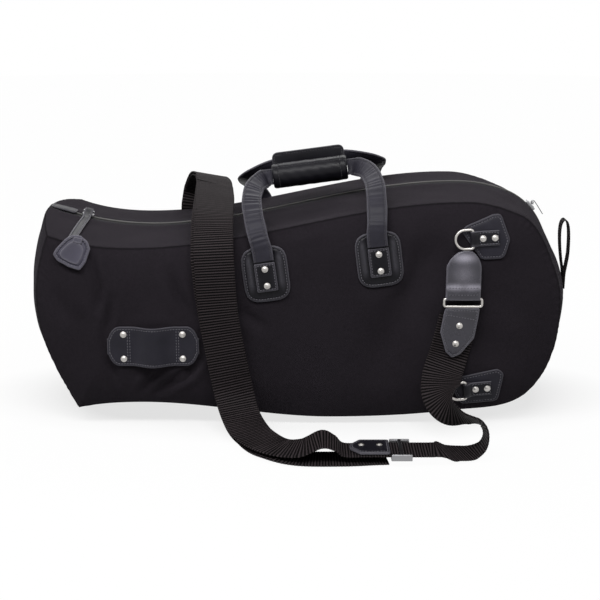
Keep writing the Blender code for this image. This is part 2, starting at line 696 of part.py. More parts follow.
def build_handles():
    """Front carry strap with its grip and flap, and the rear carry strap."""
    half = HANDLE_SPAN / 2
    front = strap_pivot(-1, 1)
    bottom_y = -front.y
    grip_end = GRIP_LENGTH / 2
    leg = [
        (half, bottom_y, STRAP_ROOT, 1, 0, 0),
        (half + 0.0005, bottom_y + 0.0004, 0.018, 1, 0, 0),
        (half + 0.003, 0.1540, 0.034, 1, 0, 0.05),
        (half + 0.006, 0.1370, 0.056, 1, -0.1, 0.1),
        (half + 0.007, 0.108, 0.074, 0.9, -0.3, 0.3),
        (half + 0.002, 0.074, 0.0855, 0.6, -0.6, 0.6),
        (half - 0.007, 0.049, 0.0885, 0.25, -0.7, 0.7),
    ]
    for end, along in (("left", -1), ("right", 1)):
        tip = grip_end + along * GRIP_SHIFT + 2 * GAP
        turn = [(tip + 0.009, 0.0335, GRIP_RISE, 0, -0.7, 0.7), (tip, -GRIP_Y, GRIP_RISE, 0, -0.7, 0.7)]
        rows = smooth_route(handle_route(leg + turn, along, -1), 20)
        finish = handle_vector(-along, 0, 0)
        name = f"front_handle_strap_{end}"
        thing = add_ribbon(name, rows, STRAP_WIDTH, STRAP_THICK, "leather", (0,), finish)
        set_origin(thing, strap_pivot(-1, along))
    sections = []
    profile = [(-grip_end, 0.86), (-grip_end + 0.003, 1.0), (grip_end - 0.003, 1.0), (grip_end, 0.86)]
    for u, share in profile:
        ring = circle(GRIP_RADIUS * share, 16)
        sections.append([handle_point(u + GRIP_SHIFT, GRIP_Y + a, GRIP_RISE + b) for a, b in ring])
    grip = add_loft("handle_grip", sections, "grip_leather", smooth=40.0)
    set_origin(grip, strap_pivot(-1, 1))

    back = GRIP_Y + GRIP_RADIUS + LEATHER_GAP
    half_flap = grip_end - 0.001
    corners = [(-half_flap, FLAP_ROOT), (half_flap, FLAP_ROOT), (half_flap, FLAP_TOP), (-half_flap, FLAP_TOP)]
    points = round_corners(corners, 0.009)
    sections = [[handle_point(u + GRIP_SHIFT, y, w) for u, w in points] for y in (back, back + FLAP_THICK)]
    flap = add_loft("grip_flap", sections, "leather")
    set_origin(flap, handle_point(GRIP_SHIFT, back + FLAP_THICK / 2, FLAP_ROOT))

    leg = [
        (half, bottom_y, STRAP_ROOT, 1, 0, 0),
        (half + 0.001, bottom_y + 0.0004, 0.018, 1, 0, 0),
        (half + 0.007, 0.1560, 0.038, 1, 0, 0.1),
        (half + 0.016, 0.1360, 0.056, 1, -0.2, 0.15),
        (half + 0.021, 0.100, 0.067, 0.9, -0.4, 0.3),
        (half + 0.017, 0.062, 0.078, 0.6, -0.6, 0.5),
        (half - 0.008, 0.033, 0.090, 0.2, -0.6, 0.75),
        (0.030, 0.019, 0.0965, 0, -0.3, 0.95),
    ]
    right = handle_route(leg, 1, 1)
    left = handle_route(leg, -1, 1)
    middle = (*handle_point(0, 0.017, 0.097), *handle_vector(0, -0.3, 0.95))
    flipped = [(*row[:3], -row[3], -row[4], -row[5]) for row in left]
    rows = flipped + [middle] + right[::-1]
    rows = smooth_route(rows, 40)
    rear = add_ribbon("rear_handle_strap", rows, STRAP_WIDTH, STRAP_THICK, "leather", (0, 39))
    set_origin(rear, strap_pivot(1, 1))


def build_carry_grip():
    """Bowed band on the bell part of the front panel, held by a pair of rivets at each end."""
    seat = panel_seat(-1, CARRY_X, CARRY_Z)
    low = LEATHER_GAP + BACKING_THICK + 2 * GAP
    half = CARRY_LENGTH / 2
    round_run = 0.016
    stops = [0.0, 0.006, 0.012, 0.018, 0.024, CARRY_FLAT, CARRY_RIVET_X, 0.0445, 0.0505, 0.0555, half]
    sections = []
    for u in [-s for s in stops[:0:-1]] + stops:
        lift = 0.0
        if abs(u) < CARRY_FLAT:
            lift = CARRY_BOW * math.cos(math.pi / 2 * u / CARRY_FLAT) ** 2
        past = max(0.0, abs(u) - (half - round_run)) / round_run
        wide = CARRY_WIDTH / 2 * math.sqrt(max(0.16, 1 - past**2))
        corners = ((-wide, 0), (wide, 0), (wide, CARRY_THICK), (-wide, CARRY_THICK))
        sections.append([seat.at(u, v, low + lift + n) for v, n in corners])
    band = add_loft("carry_grip", sections, "leather")
    spots = [(s * CARRY_RIVET_X, t * CARRY_RIVET_Z) for s in (-1, 1) for t in (-1, 1)]
    drill(band, seat, spots, RIVET_SHANK + GAP, low - 0.002, low + CARRY_THICK + 0.002)
    add_rivets("carry_grip_rivets_left", seat, spots[:2], LEATHER_GAP, low + CARRY_THICK)
    add_rivets("carry_grip_rivets_right", seat, spots[2:], LEATHER_GAP, low + CARRY_THICK)


RING_LIFT = PATCH_HIGH + GAP + WIRE + RING_BORE_GAP + SLEEVE_WALL


def add_ring_tab(name, seat):
    """Leather tab folded round the bar of a D-ring, its plate towards +u."""
    bore, outer = WIRE + RING_BORE_GAP, WIRE + RING_BORE_GAP + SLEEVE_WALL
    top, bottom = TAB_HIGH - RING_LIFT, TAB_LOW - RING_LIFT
    first, last = math.asin(top / outer), 2 * math.pi + math.asin(bottom / outer)
    steps = 14
    turns = [first + (last - first) * k / steps for k in range(steps + 1)]
    points = [(outer * math.cos(t), outer * math.sin(t)) for t in turns]
    points += [(RING_TAB_LENGTH, bottom), (RING_TAB_LENGTH, top)]
    hole = circle(bore, 10)
    work = bmesh.new()
    loops = []
    for loop in (points, hole):
        verts = [work.verts.new(seat.at(u, -RING_TAB_HEIGHT / 2, RING_LIFT + n)) for u, n in loop]
        loops += [work.edges.new((verts[k], verts[(k + 1) % len(verts)])) for k in range(len(verts))]
    bmesh.ops.triangle_fill(work, edges=loops, use_beauty=True, use_dissolve=False)
    grown = bmesh.ops.extrude_face_region(work, geom=list(work.faces))
    moved = [g for g in grown["geom"] if isinstance(g, bmesh.types.BMVert)]
    bmesh.ops.translate(work, verts=moved, vec=seat.v * RING_TAB_HEIGHT)
    work.verts.index_update()
    vertices = [v.co.copy() for v in work.verts]
    faces = [tuple(v.index for v in face.verts) for face in work.faces]
    work.free()
    return add_mesh(name, vertices, faces, "leather")


def add_wire(name, points, wire, sides=8):
    """Closed wire ring through points of one plane."""
    count = len(points)
    plane = (points[1] - points[0]).cross(points[count // 2] - points[0]).normalized()
    sections = []
    for n, point in enumerate(points):
        ahead = (points[(n + 1) % count] - points[n - 1]).normalized()
        side = ahead.cross(plane)
        turns = [2 * math.pi * k / sides for k in range(sides)]
        sections.append([point + (side * math.cos(t) + plane * math.sin(t)) * wire for t in turns])
    return add_loft(name, sections, "nickel", closed=True, smooth=60.0)


def ring_outline():
    """D shape about the bar at u = 0, its bow towards -u."""
    bend = 0.003
    points = [(0, v) for v in spread(-RING_HALF + bend, RING_HALF - bend, 3)]
    points += [(-bend * 0.3, RING_HALF - bend * 0.3), (-bend, RING_HALF)]
    for k in range(9):
        angle = math.pi / 2 + math.pi * k / 8
        points.append((-RING_LEG + RING_HALF * math.cos(angle), RING_HALF * math.sin(angle)))
    points += [(-bend, -RING_HALF), (-bend * 0.3, -RING_HALF + bend * 0.3)]
    return points


def strap_ring_outline():
    """Rectangle about the bar at u = 0, wide enough for the webbing."""
    deep, half = REAR_RING_DEEP, REAR_RING_HALF
    return round_corners([(0, -half), (0, half), (-deep, half), (-deep, -half)], 0.003)


def add_ring_set(prefix, seat, patch, outline):
    """Patch, folded tab, rivets and ring of one strap anchor."""
    spots = [(0.0125, 0), (0.0275, 0)]
    make = lambda: add_ring_tab(f"{prefix}_ring_tab", seat)
    add_riveted((f"{prefix}_ring_patch", f"{prefix}_ring_rivets"), seat, patch, make, spots)
    points = [seat.at(u, v, RING_LIFT) for u, v in outline]
    ring = add_wire(f"{prefix}_ring", points, WIRE)
    set_origin(ring, seat.at(0, 0, RING_LIFT))
    return ring


def upper_seat():
    return panel_seat(-1, UPPER_RING_X, UPPER_RING_Z, UPPER_RING_TURN)


def lower_seat():
    return panel_seat(-1, LOWER_RING_X, LOWER_RING_Z, LOWER_RING_TURN)


def rear_seat():
    return panel_seat(1, REAR_RING_X, REAR_RING_Z, -REAR_RING_TURN)


def build_rings():
    """The three strap anchors."""
    upper = round_corners(
        [(-0.016, 0.0135), (0.010, -0.0275), (0.039, -0.0275), (0.0475, -0.004), (0.0375, 0.0285), (0.027, 0.0285)],
        0.010,
    )
    lower = round_corners(
        [(-0.0160, -0.002), (-0.0085, 0.0165), (0.043, 0.0235), (0.0505, 0.0165), (0.041, -0.0225), (-0.006, -0.0225)],
        0.008,
    )
    rear = round_corners(
        [(-0.0160, -0.002), (-0.0085, 0.0225), (0.043, 0.0225), (0.0485, 0.0), (0.043, -0.0225), (-0.0085, -0.0225)],
        0.008,
    )
    add_ring_set("upper", upper_seat(), upper, ring_outline())
    add_ring_set("lower", lower_seat(), lower, ring_outline())
    add_ring_set("rear", rear_seat(), rear, strap_ring_outline())


def build_strap_end():
    """Leather hanger, rectangular ring and pointed leather that hang from the upper ring."""
    pivot = upper_seat().at(0, 0, RING_LIFT)
    seat = Seat(pivot, (1, 0, 0), (0, 0, 1), (0, -1, 0))
    low = -HANGER_THICK / 2
    top = -RING_HALF - WIRE - 3 * GAP
    centre = -0.0105
    foot = top - HANGER_LENGTH
    shoulder = top - HANGER_SHOULDER
    half = HANGER_WIDTH / 2
    neck = HANGER_NECK / 2
    neck_u = -0.0075
    corners = [(neck_u - neck, top), (centre - half, shoulder), (centre - half, foot)]
    corners += [(centre + half, foot), (centre + half, shoulder), (neck_u + neck, top)]
    hanger = add_plate("hanger_tab", seat, round_corners(corners[::-1], 0.004, 2), low, low + HANGER_THICK, "leather")
    set_origin(hanger, pivot)
    high, base = foot - GAP - WIRE, foot - GAP - WIRE - BUCKLE_HEIGHT
    loop = round_corners([(centre - BUCKLE_WIDTH / 2, base), (centre + BUCKLE_WIDTH / 2, base),
                          (centre + BUCKLE_WIDTH / 2, high), (centre - BUCKLE_WIDTH / 2, high)], 0.003)
    ring = add_wire("buckle_ring", [seat.at(u, v, 0) for u, v in loop], WIRE, 6)
    set_origin(ring, pivot)
    top = base - WIRE - GAP
    half = HANGER_WIDTH / 2
    corners = [(centre - half, top), (centre - half, top - POINT_SHOULDER), (centre - 0.012, top - POINT_LENGTH)]
    corners += [(centre + 0.004, top - POINT_LENGTH), (centre + half, top - POINT_SHOULDER), (centre + half, top)]
    low = -POINT_THICK / 2
    rivet_low = low - GAP - BACKING_THICK
    point = add_plate("strap_point", seat, round_corners(corners[::-1], 0.003, 2), low, low + POINT_THICK, "leather")
    spots = [(centre + 0.001, top - 0.024), (centre - 0.003, top - 0.048)]
    drill(point, seat, spots, RIVET_SHANK + GAP, low - 0.002, low + POINT_THICK + 0.002)
    add_rivets("strap_point_rivets", seat, spots, rivet_low, low + POINT_THICK)


# Shoulder strap, outer layer: point and width direction, from the top of the bag down the
# front, over the floor to the adjuster, and by a bow up behind the pointed leather.
OUTER_ROUTE = [
    (-0.115, -0.0004, 0.2990, 0.94, -0.24, -0.24),
    (-0.111, -0.060, 0.2910, 0.96, -0.18, -0.18),
    (-0.110, -0.120, 0.2720, 0.98, -0.10, -0.10),
    (-0.111, -0.156, 0.2450, 0.99, 0, 0.05),
    (-0.111, -0.1660, 0.2150, 0.99, 0, 0.10),
    (-0.105, -0.1660, 0.1550, 0.98, 0, 0.16),
    (-0.094, -0.1660, 0.1000, 0.98, 0, 0.18),
    (-0.084, -0.1690, 0.0520, 0.97, 0.15, 0.18),
    (-0.074, -0.1920, 0.0280, 0.80, 0.55, 0.22),
    (-0.058, -0.2280, 0.0175, 0.42, 0.88, 0.18),
    (-0.030, -0.2600, 0.0130, 0.08, 0.99, 0.08),
    (0.000, -0.2720, 0.0150, 0.0, 1.0, 0.10),
    (0.026, RUN_Y, 0.0260, 0.0, 1.0, 0.12),
    (0.042, RUN_Y, 0.0210, 0.0, 1.0, 0.05),
    (0.053, RUN_Y, RUN_Z, 0.0, 1.0, 0.0),
    (0.080, RUN_Y, RUN_Z, 0.0, 1.0, 0.0),
    (0.110, RUN_Y, RUN_Z, 0.0, 1.0, 0.0),
    (0.135, RUN_Y, RUN_Z, 0.0, 1.0, 0.0),
    (0.158, RUN_Y, RUN_Z, 0.0, 1.0, 0.0),
    (0.185, -0.2660, 0.0065, 0.0, 1.0, 0.0),
    (0.208, -0.2600, 0.0050, 0.0, 1.0, 0.0),
    (0.2225, -0.2580, 0.0125, 0.0, 1.0, -0.10),
    (0.2265, -0.2560, 0.0270, 0.0, 0.98, -0.20),
    (0.2200, -0.2520, 0.0400, -0.05, 0.95, -0.30),
    (0.2010, -0.2400, 0.0450, -0.15, 0.90, -0.40),
    (0.1845, -0.2220, 0.0500, -0.45, 0.75, -0.45),
    (0.1770, -0.1960, 0.0600, -0.72, 0.60, -0.10),
    (0.1800, -0.1700, 0.0740, -0.88, 0.38, 0.25),
    (0.1880, -0.1535, 0.0920, -0.95, 0.06, 0.28),
    (0.1950, -0.1516, 0.1180, -0.96, 0, 0.24),
    (0.2020, -0.1516, 0.1480, -0.99, 0, 0.08),
]

# Inner layer: the same way down, and flat on the floor to the keeper.
INNER_ROUTE = [
    (-0.1155, -0.0004, 0.2960, 0.94, -0.24, -0.24),
    (-0.1115, -0.060, 0.2880, 0.96, -0.18, -0.18),
    (-0.110, -0.1185, 0.2693, 0.98, -0.10, -0.10),
    (-0.109, -0.1535, 0.2435, 0.99, 0, 0.05),
    (-0.107, -0.1630, 0.2150, 0.99, 0, 0.10),
    (-0.098, -0.1630, 0.1550, 0.98, 0, 0.16),
    (-0.086, -0.1630, 0.1000, 0.98, 0, 0.18),
    (-0.078, -0.1630, 0.0500, 0.97, 0.15, 0.18),
    (-0.070, -0.1850, 0.0200, 0.80, 0.55, 0.18),
    (-0.055, -0.2280, 0.0080, 0.42, 0.88, 0.05),
    (-0.030, -0.2630, 0.0050, 0.08, 0.99, 0.0),
    (0.000, -0.2760, 0.0030, 0.0, 1.0, 0.0),
    (0.050, -0.2780, 0.0030, 0.0, 1.0, 0.0),
    (0.085, -0.2740, 0.0030, 0.0, 1.0, 0.0),
    (0.104, RUN_Y, 0.0030, 0.0, 1.0, 0.0),
]

# Behind the bag, over the top: the two layers of one ribbon that turns through the rear ring.
REAR_UPPER = [
    (-0.115, 0.0004, 0.2990, 0.94, -0.24, -0.24),
    (-0.121, 0.060, 0.3000, 0.95, -0.20, -0.20),
    (-0.133, 0.120, 0.2900, 0.97, -0.10, -0.10),
    (-0.144, 0.1565, 0.2660, 0.99, 0, 0),
    (-0.1485, 0.1585, 0.2440, 1, 0.01, 0),
]
REAR_LOWER = [
    (-0.1485, 0.1500, 0.2420, 1, 0.01, 0),
    (-0.144, 0.1500, 0.2600, 0.99, 0, 0),
    (-0.133, 0.1170, 0.2860, 0.97, -0.10, -0.10),
    (-0.1215, 0.060, 0.2965, 0.95, -0.20, -0.20),
    (-0.1155, 0.0004, 0.2960, 0.94, -0.24, -0.24),
]


def rear_route():
    """Rear webbing: down behind, round the upper wire of the rear ring and back up."""
    seat = rear_seat()
    radius = WIRE + RUNNING_GAP + WEB_THICK / 2
    bend = []
    for turn in range(150, 391, 30):
        n = radius * -math.cos(math.radians(turn))
        u = radius * -math.sin(math.radians(turn))
        bend.append((*seat.at(u - REAR_RING_DEEP, 0, RING_LIFT + n), *seat.v))
    above = smooth_route(REAR_UPPER + bend[:1], 18)
    below = smooth_route(bend[-1:] + REAR_LOWER, 18)
    return list(above[:-1]) + bend + list(below[1:])


def build_webbing():
    """The three stretches of shoulder webbing."""
    add_ribbon("webbing_outer", smooth_route(OUTER_ROUTE, 76), WEB_WIDTH, WEB_THICK, "webbing")
    add_ribbon("webbing_inner", smooth_route(INNER_ROUTE, 38), WEB_WIDTH, WEB_THICK, "webbing")
    add_ribbon("webbing_rear", rear_route(), WEB_WIDTH, WEB_THICK, "webbing")


def add_strip(name, points, width, thick, slot, smooth=30.0):
    """Strip of even thickness along points of one plane, width being a vector square to it."""
    width = Vector(width)
    square = width.normalized()
    left, right = [], []
    for n, point in enumerate(points):
        before = (point - points[max(n - 1, 0)]).normalized()
        after = (points[min(n + 1, len(points) - 1)] - point).normalized()
        ahead = (before + after).normalized()
        normal = ahead.cross(square)
        reach = thick / 2 / max(0.5, normal.dot((after if n < 1 else before).cross(square)))
        left.append(point + normal * reach)
        right.append(point - normal * reach)
    count = len(points)
    vertices = []
    for offset in (-width / 2, width / 2):
        vertices += [v + offset for v in left + right[::-1]]
    size = 2 * count
    faces = []
    for k in range(size):
        m = (k + 1) % size
        faces.append((k, m, size + m, size + k))
    for n in range(count - 1):
        a, b = (n, n + 1), (size - 1 - n, size - 2 - n)
        faces.append((a[1], a[0], b[0], b[1]))
        faces.append((size + a[0], size + a[1], size + b[1], size + b[0]))
    return add_mesh(name, vertices, faces, slot, smooth)


def left_slider_arc():
    """Arc that the left slider runs on, and its place along it."""
    return (THROAT_X, THROAT_Z + FLARE_RADIUS, -FLARE_RADIUS), LEFT_SLIDER_TURN


def right_slider_arc():
    """Arc that the right slider runs on, and its place along it."""
    return (SHOULDER_X, SHOULDER_Z, SHOULDER_RADIUS), RIGHT_SLIDER_TURN


def zip_seat(arc, turn):
    """Seat on the zip: u along it, v across it towards -Y, n out of the bag."""
    x, z = on_arc(*arc, turn)
    angle = math.radians(turn)
    along, out = (math.cos(angle), 0, -math.sin(angle)), (math.sin(angle), 0, math.cos(angle))
    return Seat((x, 0, z), along, (0, -1, 0), out)


SLIDER_LOW = -TAPE_SINK + RUNNING_GAP
SLIDER_ROOF = COIL_RISE + RUNNING_GAP
SLIDER_TOP = SLIDER_ROOF + SLIDER_PLATE
EYE_BORE = math.hypot(BAIL_BAR, BAIL_WIDTH) / 2 + BAIL_CLEAR
BAR_HEIGHT = SLIDER_TOP + EYE_BORE + FOB_STRAP_THICK + BAIL_CLEAR


def add_slider(name, arc, turn, bar_along):
    """Slider that follows the zip's arc, with a bail whose bar lies along or across it. It
    grips the front coil and slopes up over the rear one, which leaves it as the bag opens."""
    half, lip = SLIDER_WIDTH / 2, COIL_HALF + RUNNING_GAP
    outline = [(-half, SLIDER_LOW), (-half, SLIDER_TOP), (SLIDER_BACK, SLIDER_TOP)]
    outline += [(RUNNING_GAP, SLIDER_ROOF), (-lip, SLIDER_ROOF), (-lip, SLIDER_LOW)]
    spread_turn = math.degrees(SLIDER_LENGTH / 2 / abs(arc[2]))
    sections = []
    for share in (-1, -0.5, 0, 0.5, 1):
        angle = turn + share * spread_turn
        out = []
        for y, height in outline:
            x, z = on_arc(arc[0], arc[1], arc[2] + height, angle)
            out.append(Vector((x, y, z)))
        sections.append(out)
    body = add_loft(name, sections, "slider_metal")
    seat = zip_seat(arc, turn)
    inside = (FOB_STRAP_WIDTH if bar_along else PULL_WIDTH) / 2 + 0.0006
    outside = inside + 0.0014
    low, under, top = SLIDER_TOP - 0.0004, BAR_HEIGHT - BAIL_BAR / 2, BAR_HEIGHT + BAIL_BAR / 2
    arch = [(-outside, low), (-outside, top), (outside, top), (outside, low)]
    arch += [(inside, low), (inside, under), (-inside, under), (-inside, low)]
    sections = []
    for depth in (-BAIL_WIDTH / 2, BAIL_WIDTH / 2):
        place = (lambda a, n: seat.at(a, depth, n)) if bar_along else (lambda a, n: seat.at(depth, a, n))
        sections.append([place(a, n) for a, n in arch])
    bail = add_loft(name + "_bail", sections, "slider_metal")
    bail.hide_render = True
    bail.display_type = "WIRE"
    join = body.modifiers.new("bail", "BOOLEAN")
    join.operation = "UNION"
    join.solver = "EXACT"
    join.object = bail
    set_origin(body, (arc[0], 0, arc[1]))


def eye_points(place, start, end, thick):
    """Points of a strip that curls round a bail's bar, between two angles in degrees."""
    radius = EYE_BORE + thick / 2
    steps = 9
    turns = [math.radians(start + (end - start) * k / steps) for k in range(steps + 1)]
    return [place(radius * math.cos(t), radius * math.sin(t)) for t in turns]


def build_sliders():
    """Both sliders, the fob on its strap, and the wire pull."""
    add_slider("slider_left", *left_slider_arc(), True)
    add_slider("slider_right", *right_slider_arc(), False)

    arc, turn = left_slider_arc()
    seat = zip_seat(arc, turn)
    bar = seat.at(0, 0, BAR_HEIGHT)
    place = lambda y, height: seat.at(0, y, BAR_HEIGHT + height)
    points = eye_points(place, 335, 72, FOB_STRAP_THICK)
    row = LEFT_SLIDER_X
    near = int(np.argmin(np.abs(CREST[:20, 0] - row)))
    step = 1 if CREST[near][0] < row else -1
    where = near + step * abs(row - CREST[near][0]) / abs(CREST[near + step][0] - CREST[near][0])
    lift = FOB_STRAP_THICK / 2 + 2 * RUNNING_GAP
    surface = lambda y: (gusset_point(where, -y) - seat.origin).dot(seat.n)
    for y in (0.022, 0.050, 0.080, 0.110, 0.136):
        points.append(seat.at(0, y, surface(y) + lift))
    edge = half_width(row)
    drop = surface(edge)
    swell = lambda s: edge + pillow(s)
    slope = (swell(FOB_REACH + 0.001) - swell(FOB_REACH - 0.001)) / 0.002
    tilt = math.atan(slope)
    down = Vector((0, -math.sin(tilt), 0)) - seat.n * math.cos(tilt)
    out = Vector((0, -math.cos(tilt), 0)) + seat.n * math.sin(tilt)
    face = seat.at(0, swell(FOB_REACH), drop - FOB_REACH)
    hang = Seat(face, seat.u, -down, out)
    strap_n = RUNNING_GAP + FOB_STRAP_THICK / 2
    points.append(seat.at(0, edge + 0.0022, drop + 0.0030))
    points.append(hang.at(0, 0.0140, strap_n))
    points.append(hang.at(0, 0.0040, strap_n))
    strap = add_strip("fob_strap", points, seat.u * FOB_STRAP_WIDTH, FOB_STRAP_THICK, "leather")
    set_origin(strap, bar)
    low = RUNNING_GAP + FOB_STRAP_THICK + 2 * GAP
    half = FOB_HEIGHT / 2
    corners = [(-FOB_BOTTOM / 2, -half + 0.010), (-0.012, -half), (0.012, -half), (FOB_BOTTOM / 2, -half + 0.010)]
    corners += [(FOB_TOP / 2, half), (-FOB_TOP / 2, half)]
    fob = add_plate("fob", hang, round_corners(corners, 0.006, 2), low, low + FOB_THICK, "leather")
    set_origin(fob, bar)

    seat = zip_seat(*right_slider_arc())
    place = lambda u, height: seat.at(u, 0, BAR_HEIGHT + height)
    points = eye_points(place, 335, 80, PULL_THICK)
    points.append(place(PULL_LENGTH * 0.35, 0.0015))
    points.append(place(PULL_LENGTH, -0.0010))
    pull = add_strip("wire_pull", points, (0, PULL_WIDTH, 0), PULL_THICK, "slider_metal")
    set_origin(pull, seat.at(0, 0, BAR_HEIGHT))


# Finger loop, its middle line in XZ from one sewn end round to the other.
LOOP_ROUTE = [
    (0.3555, 0.1560),
    (0.3560, 0.1760),
    (0.3530, 0.1960),
    (0.3508, 0.2150),
    (0.3500, 0.2330),
    (0.3515, 0.2450),
    (0.3555, 0.2500),
    (0.3600, 0.2450),
    (0.3622, 0.2300),
    (0.3622, 0.2050),
    (0.3600, 0.1880),
    (0.3583, 0.1760),
    (0.3577, 0.1560),
]


def build_finger_loop():
    route = smooth_route([(x, 0, z) for x, z in LOOP_ROUTE], 30)
    points = [Vector((x, LOOP_Y, z)) for x, _, z in route]
    loop = add_strip("finger_loop", points, (0, LOOP_WIDTH, 0), LOOP_THICK, "webbing")
    set_origin(loop, ((LOOP_ROUTE[0][0] + LOOP_ROUTE[-1][0]) / 2, LOOP_Y, LOOP_ROUTE[0][1]))


def add_box(name, seat, size, centre, slot):
    u, v, n = centre
    corners = [(a + u, b + v) for a, b in box_corners(size[0], size[1])]
    return add_plate(name, seat, corners, n - size[2] / 2, n + size[2] / 2, slot)


def build_adjuster():
    """Leather keeper with its rivets, and the metal frame that the outer webbing runs through."""
    seat = Seat((KEEPER_X, RUN_Y, RUN_Z), (1, 0, 0), (0, 1, 0), (0, 0, 1))
    half, wide = KEEPER_LENGTH / 2, KEEPER_WIDTH / 2
    corners = [(-half, -0.006), (-half + 0.012, -wide), (half, -wide), (half, wide), (-half + 0.012, wide)]
    corners.append((-half, 0.006))
    rivets_low = WEB_THICK / 2 + GAP
    low = rivets_low + BACKING_THICK + GAP
    keeper = add_plate("keeper", seat, round_corners(corners, 0.003, 2), low, low + KEEPER_THICK, "leather")
    spots = [(-0.010, 0.004), (0.012, 0.004)]
    drill(keeper, seat, spots, RIVET_SHANK + GAP, low - 0.002, low + KEEPER_THICK + 0.002)
    set_origin(keeper, seat.origin)
    rivets = add_rivets("keeper_rivets", seat, spots, rivets_low, low + KEEPER_THICK)
    set_origin(rivets, seat.origin)

    seat = Seat((FRAME_X, RUN_Y, RUN_Z), (1, 0, 0), (0, 1, 0), (0, 0, 1))
    span = WEB_WIDTH / 2 + RUNNING_GAP + FRAME_SIDE / 2
    side = (FRAME_LENGTH, FRAME_SIDE, FRAME_TALL)
    frame = add_box("adjuster_frame", seat, side, (0, span, 0), "slider_metal")
    bar = (FRAME_BAR, 2 * span, FRAME_TALL / 2 - WEB_THICK / 2 - RUNNING_GAP)
    under = -FRAME_TALL / 2 + bar[2] / 2
    reach = FRAME_LENGTH / 2 - FRAME_BAR / 2
    pieces = [(side, (0, -span, 0)), (bar, (-reach, 0, under)), (bar, (reach, 0, under)), (bar, (0, 0, -under))]
    for n, (size, centre) in enumerate(pieces):
        piece = add_box(f"adjuster_frame_{n}", seat, size, centre, "slider_metal")
        piece.hide_render = True
        piece.display_type = "WIRE"
        join = frame.modifiers.new(f"piece_{n}", "BOOLEAN")
        join.operation = "UNION"
        join.solver = "EXACT"
        join.object = piece
    set_origin(frame, seat.origin)


def main():
    clear_scene()
    build_panels()
    build_gussets()
    build_zip()
    build_handle_patches()
    build_handles()
    build_carry_grip()
    build_rings()
    build_strap_end()
    build_sliders()
    build_finger_loop()
    build_adjuster()
    build_webbing()


main()
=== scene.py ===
"""Dresses the solids of a horn's gig bag with padded cloth, a zip, leather, webbing and metal."""

import math

import bpy
import numpy as np
from bpy.props import FloatProperty, FloatVectorProperty, PointerProperty
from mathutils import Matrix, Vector


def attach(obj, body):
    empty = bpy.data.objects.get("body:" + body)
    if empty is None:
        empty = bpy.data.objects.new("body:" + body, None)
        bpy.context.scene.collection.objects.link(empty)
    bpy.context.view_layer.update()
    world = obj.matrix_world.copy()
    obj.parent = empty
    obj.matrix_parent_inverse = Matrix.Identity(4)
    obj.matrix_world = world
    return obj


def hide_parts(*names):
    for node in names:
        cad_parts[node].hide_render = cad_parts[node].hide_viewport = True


bl_info = {
    "name": "Horn Gig Bag",
    "version": (1, 0, 0),
    "blender": (4, 5, 0),
    "location": "View3D > Sidebar > Gig Bag",
    "description": "Dresses the solids of a gig bag with cloth, webbing, leather and metal",
    "category": "Add Mesh",
}

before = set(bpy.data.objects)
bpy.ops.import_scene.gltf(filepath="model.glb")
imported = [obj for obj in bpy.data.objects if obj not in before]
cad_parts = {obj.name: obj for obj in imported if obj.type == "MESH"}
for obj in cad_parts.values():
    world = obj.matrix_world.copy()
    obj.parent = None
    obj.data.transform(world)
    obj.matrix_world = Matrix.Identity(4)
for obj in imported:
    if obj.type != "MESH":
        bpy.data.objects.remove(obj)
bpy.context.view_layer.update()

TURN = 2 * math.pi
GAP = 0.0003


# Sizes and colours


def length(label, words, default):
    """Property for a length in metres."""
    return FloatProperty(
        name=label, description=words, default=default, min=0.0, precision=5, unit="LENGTH"
    )


def colour(label, words, default):
    """Property for a linear colour."""
    return FloatVectorProperty(
        name=label, description=words, default=default, size=3, min=0, max=1, subtype="COLOR"
    )


class GigBagSizes(bpy.types.PropertyGroup):
    """Sizes of the details that lie on the solids."""

    weave_pitch: length("Weave pitch", "Distance between two threads of the body cloth", 0.0007)
    seam_roll: length("Seam roll", "Radius with which the cloth rolls into a seam", 0.0030)
    seam_pucker: length("Seam pucker", "Depth of the small gathers along the seams", 0.0007)
    crease_depth: length("Crease depth", "Depth of the deepest crease in the front panel", 0.0068)
    tooth_pitch: length("Tooth pitch", "Distance between two teeth of the zip", 0.0017)
    rib_pitch: length("Rib pitch", "Distance between two ribs of the webbing", 0.0034)
    rib_height: length("Rib height", "Height of the ribs of the webbing", 0.00042)
    stitch_pitch: length("Stitch pitch", "Distance between two stitches", 0.0036)
    stitch_length: length("Stitch length", "Length of one stitch", 0.0027)
    thread_width: length("Thread width", "Width of the sewing thread", 0.0009)
    rivet_radius: length("Rivet radius", "Radius of a rivet's head", 0.0042)


class GigBagColours(bpy.types.PropertyGroup):
    """Colours of the finishes."""

    cloth: colour("Body cloth", "Woven cloth of the bag", (0.0190, 0.0160, 0.0200))
    lining: colour("Lining", "Soft cloth inside the bag", (0.030, 0.030, 0.034))
    webbing: colour("Webbing", "Shoulder strap and finger loop", (0.0115, 0.0093, 0.0100))
    leather: colour("Leather", "Patches, tabs and straps", (0.0090, 0.0085, 0.0118))
    # The leather edge colour is also the colour of the highlights painted on the leather.
    leather_edge: colour(
        "Leather edge", "Painted and worn edges of the leather", (0.125, 0.120, 0.140)
    )
    thread: colour("Thread", "Sewing thread", (0.13, 0.125, 0.145))
    nickel: colour("Nickel", "Rings, rivets and buckles", (0.47, 0.45, 0.43))
    dark_metal: colour("Dark metal", "Zip sliders", (0.30, 0.30, 0.31))
    tape: colour("Zip tape", "Tape of the zip", (0.012, 0.012, 0.013))
    coil: colour("Zip coil", "Nylon teeth of the zip", (0.13, 0.125, 0.122))
    floor: colour("Floor", "Floor and backdrop", (0.92, 0.92, 0.92))


# Meshes


